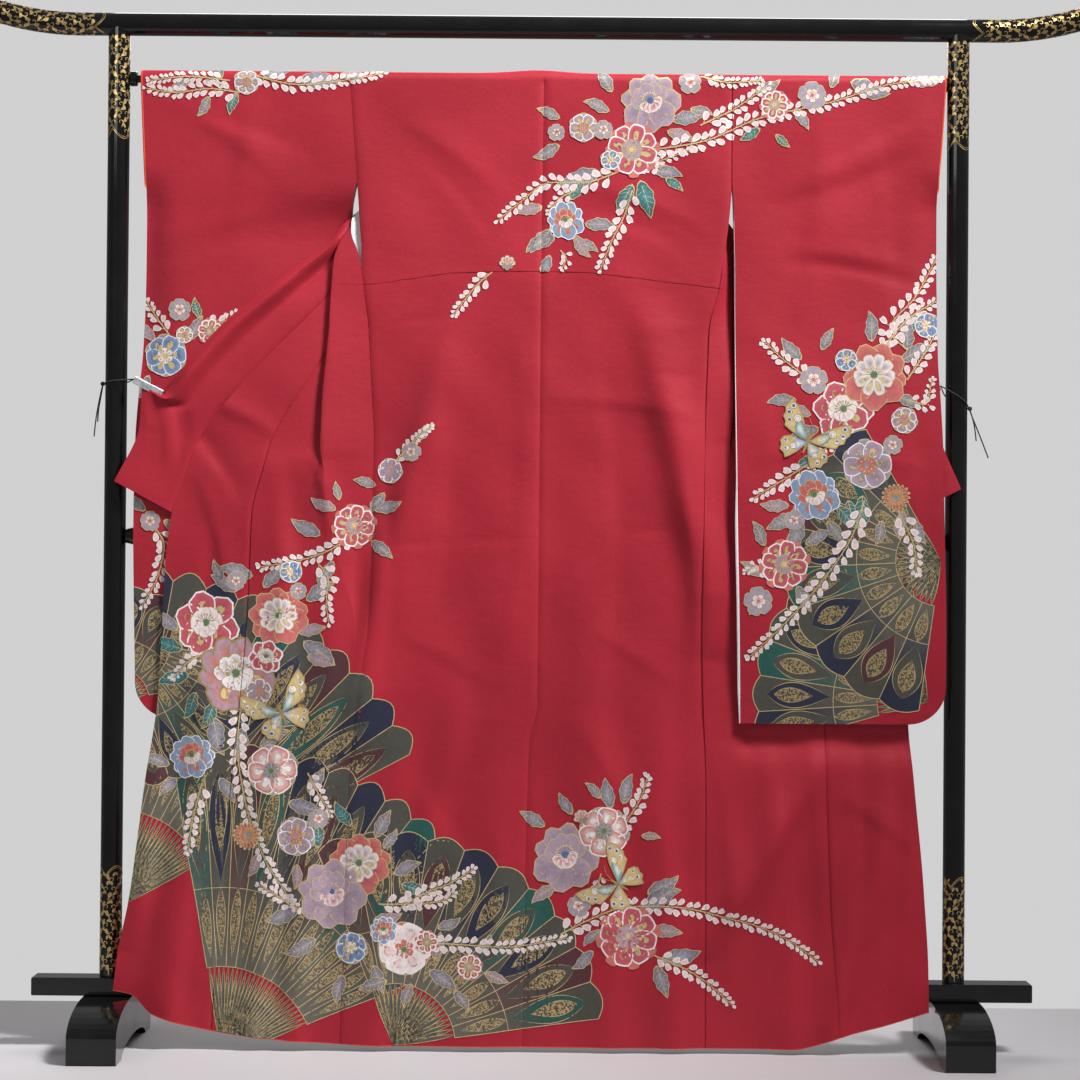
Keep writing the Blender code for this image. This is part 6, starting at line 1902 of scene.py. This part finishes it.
def sew(name, node, sheet, thick=None, inner=None):
    """A panel as a finished piece: a shell round its sheet, silk outside, inside the lining or as given."""
    thick = thick or bpy.context.scene.furisode_cloth.thickness
    grid, outward, _ = sheet
    settle(cloth_shell(name, grid, outward, thick / MM, (silk(), inner or lined())), "cloth", node)


class FURISODE_OT_ties(bpy.types.Operator):
    """The free ends of the ties and the finish of their loops and knots"""

    bl_idname = "furisode.ties"
    bl_label = "Ties"

    def execute(self, context):
        material = shared("tie_cord", cord_material, tuple(context.scene.furisode_stand.cord))
        for node, points in TAILS.items():
            along = np.concatenate([[0], np.cumsum(np.linalg.norm(np.diff(points, axis=0), axis=1))])
            line = curve(along, points, np.linspace(0, along[-1], 15)) * MM
            data = bpy.data.curves.new(node + "_cord", "CURVE")
            data.dimensions = "3D"
            data.bevel_depth = CORD_R * MM
            data.bevel_resolution = 3
            data.use_fill_caps = True
            spline = data.splines.new("POLY")
            spline.points.add(len(line) - 1)
            spline.points.foreach_set("co", np.concatenate([line, np.ones((len(line), 1))], 1).ravel())
            data.materials.append(material)
            made = bpy.data.objects.new(node + "_cord", data)
            context.scene.collection.objects.link(made)
            settle(made, "cord", node)
            length = float(np.sum(np.linalg.norm(np.diff(line, axis=0), axis=1)))
            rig.cord(made, exit=tuple(line[0]), length=round(length, 3), diameter=2 * CORD_R * MM,
                    far_end="bare", stiffness="limp", lay="hanging")
        for _, side in SIDES:
            for kind in ("front", "rear", "knot"):
                cad_material(f"tie_{kind}_{side}", material)
        return {"FINISHED"}


class FURISODE_OT_bodies(bpy.types.Operator):
    """The two body lengths, from the back hem over the rail to the front hem"""

    bl_idname = "furisode.bodies"
    bl_label = "Body lengths"

    def execute(self, context):
        for side, word in SIDES:
            sew("body_silk_" + word, "body_" + word, body_sheet(side))
        return {"FINISHED"}


class FURISODE_OT_overlaps(bpy.types.Operator):
    """The overlap panels along the fronts"""

    bl_idname = "furisode.overlaps"
    bl_label = "Overlap panels"

    def execute(self, context):
        for side, word in SIDES:
            sew("overlap_silk_" + word, "okumi_" + word, overlap_sheet(side))
        return {"FINISHED"}


class FURISODE_OT_collars(bpy.types.Operator):
    """The collar band in its two halves, with the cover over its upper length"""

    bl_idname = "furisode.collars"
    bl_label = "Collar"

    def execute(self, context):
        thick = context.scene.furisode_cloth.collar_thickness
        for side, word in SIDES:
            for name, top, bottom in COLLAR_PARTS:
                sew(name + "silk_" + word, name + word, collar_sheet(side, top, bottom), thick, silk())
        return {"FINISHED"}


class FURISODE_OT_sleeves(bpy.types.Operator):
    """The two long sleeves, each folded over the rail"""

    bl_idname = "furisode.sleeves"
    bl_label = "Sleeves"

    def execute(self, context):
        for side, word in SIDES:
            sew("sleeve_silk_" + word, "sleeve_" + word, sleeve_sheet(side))
        return {"FINISHED"}


class FURISODE_OT_edgings(bpy.types.Operator):
    """The rolled edges of hem and cuffs, and the lining that shows along the sleeves' inner edges"""

    bl_idname = "furisode.edgings"
    bl_label = "Edgings"

    def execute(self, context):
        thick = context.scene.furisode_cloth.thickness / MM
        hem_thick, cuff_thick = thick + 0.5, thick + 0.9
        for side, word in SIDES:
            body, overlap = body_sheet(side)[0], overlap_sheet(side)[0]
            for name, edge in (("back", body[0]), ("front", body[-1]), ("overlap", overlap[-1])):
                name = f"hem_edge_{name}_{word}"
                made = strip(name, edge, (0, 0, -1), HEM_EDGING_WIDTH, hem_thick, edging())
                settle(made, "edging", "hem_edging_" + word)
            grid, _, run = sleeve_sheet(side)
            cuff = grid[(run >= CUFF_EDGING_Z) & (run <= FRONT_RUN - CUFF_EDGING_Z), -1]
            made = strip("cuff_edge_" + word, cuff, (side, 0, 0), EDGING_WIDTH, cuff_thick, edging())
            settle(made, "edging", "cuff_edging_" + word)
            low = run <= INNER_EDGE["z"][-1]
            width = np.interp(run[low], INNER_EDGE["z"], INNER_EDGE["width"])
            name = "sleeve_lining_edge_" + word
            made = strip(name, grid[low, 0], (-side, 0, 0), width, hem_thick, plain_lining())
            settle(made, "lining", "sleeve_lining_" + word)
        return {"FINISHED"}


class FURISODE_OT_cuts(bpy.types.Operator):
    """The size that each sheet was cut to, and what is sewn to it or dyed on it"""

    bl_idname = "furisode.cuts"
    bl_label = "Cuts"

    def execute(self, context):
        names = [made.name for made in context.scene.objects]
        for _, word in SIDES:
            for sheet, (flat, area, rests_on, starts) in CUTS.items():
                on_it = [name for name in names if name.endswith("_" + word) and name.startswith(starts)]
                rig.sheet(bpy.data.objects[f"{sheet}_{word}"], flat=flat, held="hung", area=area,
                         rests_on=[rests_on.format(word)], with_pieces=on_it)
        return {"FINISHED"}


class FURISODE_OT_pattern(bpy.types.Operator):
    """The dyed garlands, laid on the cloth they run across"""

    bl_idname = "furisode.pattern"
    bl_label = "Dyed pattern"

    def execute(self, context):
        material = shared("dyed_silk", dyed_material)
        faces = cloth_faces()
        for name, (panels, motifs) in GARLANDS.items():
            drawing = draw_garland(motifs)
            for where in panels.split():
                panel, _, word = where.rpartition("_")
                made = lay_drawing(f"dyed_{panel}_{name}_{word}", faces[where], drawing, material)
                if made:
                    settle(made, "cloth")
        return {"FINISHED"}


class FURISODE_OT_stand(bpy.types.Operator):
    """The lacquer of the stand and the clips"""

    bl_idname = "furisode.stand"
    bl_label = "Stand"

    def execute(self, context):
        colours = context.scene.furisode_stand
        lacquer = shared("black_lacquer", lacquer_material, tuple(colours.lacquer))
        for node in ("top_rail", "hanging_rail", "middle_rail", "post_left", "post_right", "stretcher",
                     "foot_left", "foot_right"):
            cad_material(node, lacquer)
        satin = shared("clip_satin", metal_material, tuple(colours.clip), 0.3, 300.0)
        for side in ("left", "right"):
            cad_material("clip_" + side, satin)
        return {"FINISHED"}


class FURISODE_OT_scrollwork(bpy.types.Operator):
    """Gold scrollwork on the ends of the top rail and of the posts"""

    bl_idname = "furisode.scrollwork"
    bl_label = "Gold scrollwork"

    def execute(self, context):
        gold = shared("gold_leaf", metal_material, tuple(context.scene.furisode_stand.gold), 0.26, 500.0)
        for number, (where, start, stop) in enumerate(BANDS):
            made = gold_band(f"scroll_{number + 1}_{where}", where, start, stop, gold)
            settle(made, "lacquer")
        return {"FINISHED"}


class FURISODE_OT_stage(bpy.types.Operator):
    """The camera, the floor and the light"""

    bl_idname = "furisode.stage"
    bl_label = "Stage"

    def execute(self, context):
        scene = context.scene
        camera = bpy.data.cameras.new("camera")
        camera.sensor_width, camera.lens = 36.0, CAMERA_LENS
        camera.clip_end = 100
        seen = bpy.data.objects.new("camera", camera)
        forward = np.array((0, *heading(math.radians(CAMERA_PITCH))))
        right = np.array((math.cos(CAMERA_ROLL), 0, math.sin(CAMERA_ROLL)))
        right -= forward * np.dot(forward, right)
        right /= np.linalg.norm(right)
        matrix = np.eye(4)
        matrix[:3] = np.stack([right, np.cross(right, forward), -forward, CAMERA_PLACE], axis=1)
        seen.matrix_world = Matrix(matrix.tolist())
        scene.collection.objects.link(seen)
        scene.camera = seen

        corners = [(x, y, 0) for x, y in FLOOR_CORNERS]
        floor = put_mesh("floor", corners, [np.array(((0, 1, 2, 3),))])
        floor.data.materials.append(shared("pale_floor", floor_material, FLOOR_COLOUR))
        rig.stage(floor)
        for name, place, target, size, power, spread in LIGHTS:
            lamp = bpy.data.lights.new(name, "AREA")
            lamp.shape, lamp.size, lamp.size_y, lamp.energy = "RECTANGLE", *size, power
            lamp.spread = math.radians(spread)
            shone = bpy.data.objects.new(name, lamp)
            way = np.array(place, float) - np.array(target, float)
            shone.rotation_euler = Vector(way).to_track_quat("Z", "Y").to_euler()
            shone.location = place
            scene.collection.objects.link(shone)
        world = bpy.data.worlds.new("studio")
        world.use_nodes = True
        background = world.node_tree.nodes["Background"]
        background.inputs["Color"].default_value = (*WORLD_COLOUR, 1)
        path = world.node_tree.nodes.new("ShaderNodeLightPath")
        level = world.node_tree.nodes.new("ShaderNodeMath")
        level.operation = "MULTIPLY_ADD"
        level.inputs[1].default_value = WORLD_SEEN - WORLD_STRENGTH
        level.inputs[2].default_value = WORLD_STRENGTH
        world.node_tree.links.new(path.outputs["Is Camera Ray"], level.inputs[0])
        world.node_tree.links.new(level.outputs["Value"], background.inputs["Strength"])
        scene.world = world
        scene.view_settings.view_transform = "Standard"
        return {"FINISHED"}


class FURISODE_PT_panel(bpy.types.Panel):
    """The steps in their order"""

    bl_label = "Furisode"
    bl_idname = "FURISODE_PT_panel"
    bl_space_type = "VIEW_3D"
    bl_region_type = "UI"
    bl_category = "Furisode"

    def draw(self, context):
        for group in ("furisode_cloth", "furisode_pattern", "furisode_stand"):
            values = getattr(context.scene, group)
            for key in values.__annotations__:
                self.layout.prop(values, key)
        for step in STEPS:
            self.layout.operator(step.bl_idname)


STEPS = (
    FURISODE_OT_stage, FURISODE_OT_ties, FURISODE_OT_bodies, FURISODE_OT_overlaps, FURISODE_OT_collars,
    FURISODE_OT_sleeves, FURISODE_OT_edgings, FURISODE_OT_pattern, FURISODE_OT_cuts, FURISODE_OT_stand,
    FURISODE_OT_scrollwork,
)
GROUPS = {
    "furisode_cloth": FurisodeCloth,
    "furisode_pattern": FurisodePattern,
    "furisode_stand": FurisodeStand,
}


def register():
    for kind in (*GROUPS.values(), *STEPS, FURISODE_PT_panel):
        bpy.utils.register_class(kind)
    for name, kind in GROUPS.items():
        setattr(bpy.types.Scene, name, bpy.props.PointerProperty(type=kind))


def unregister():
    for name in GROUPS:
        delattr(bpy.types.Scene, name)
    for kind in (FURISODE_PT_panel, *reversed(STEPS), *GROUPS.values()):
        bpy.utils.unregister_class(kind)


def main():
    register()
    for step in STEPS:
        group, name = step.bl_idname.split(".")
        getattr(getattr(bpy.ops, group), name)()
    with open("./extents.json", "w") as out:
        json.dump({"cad": CAD_BOX, "visual": [list(corner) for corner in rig.bounds()]}, out)


if __name__ == "__main__":
    main()
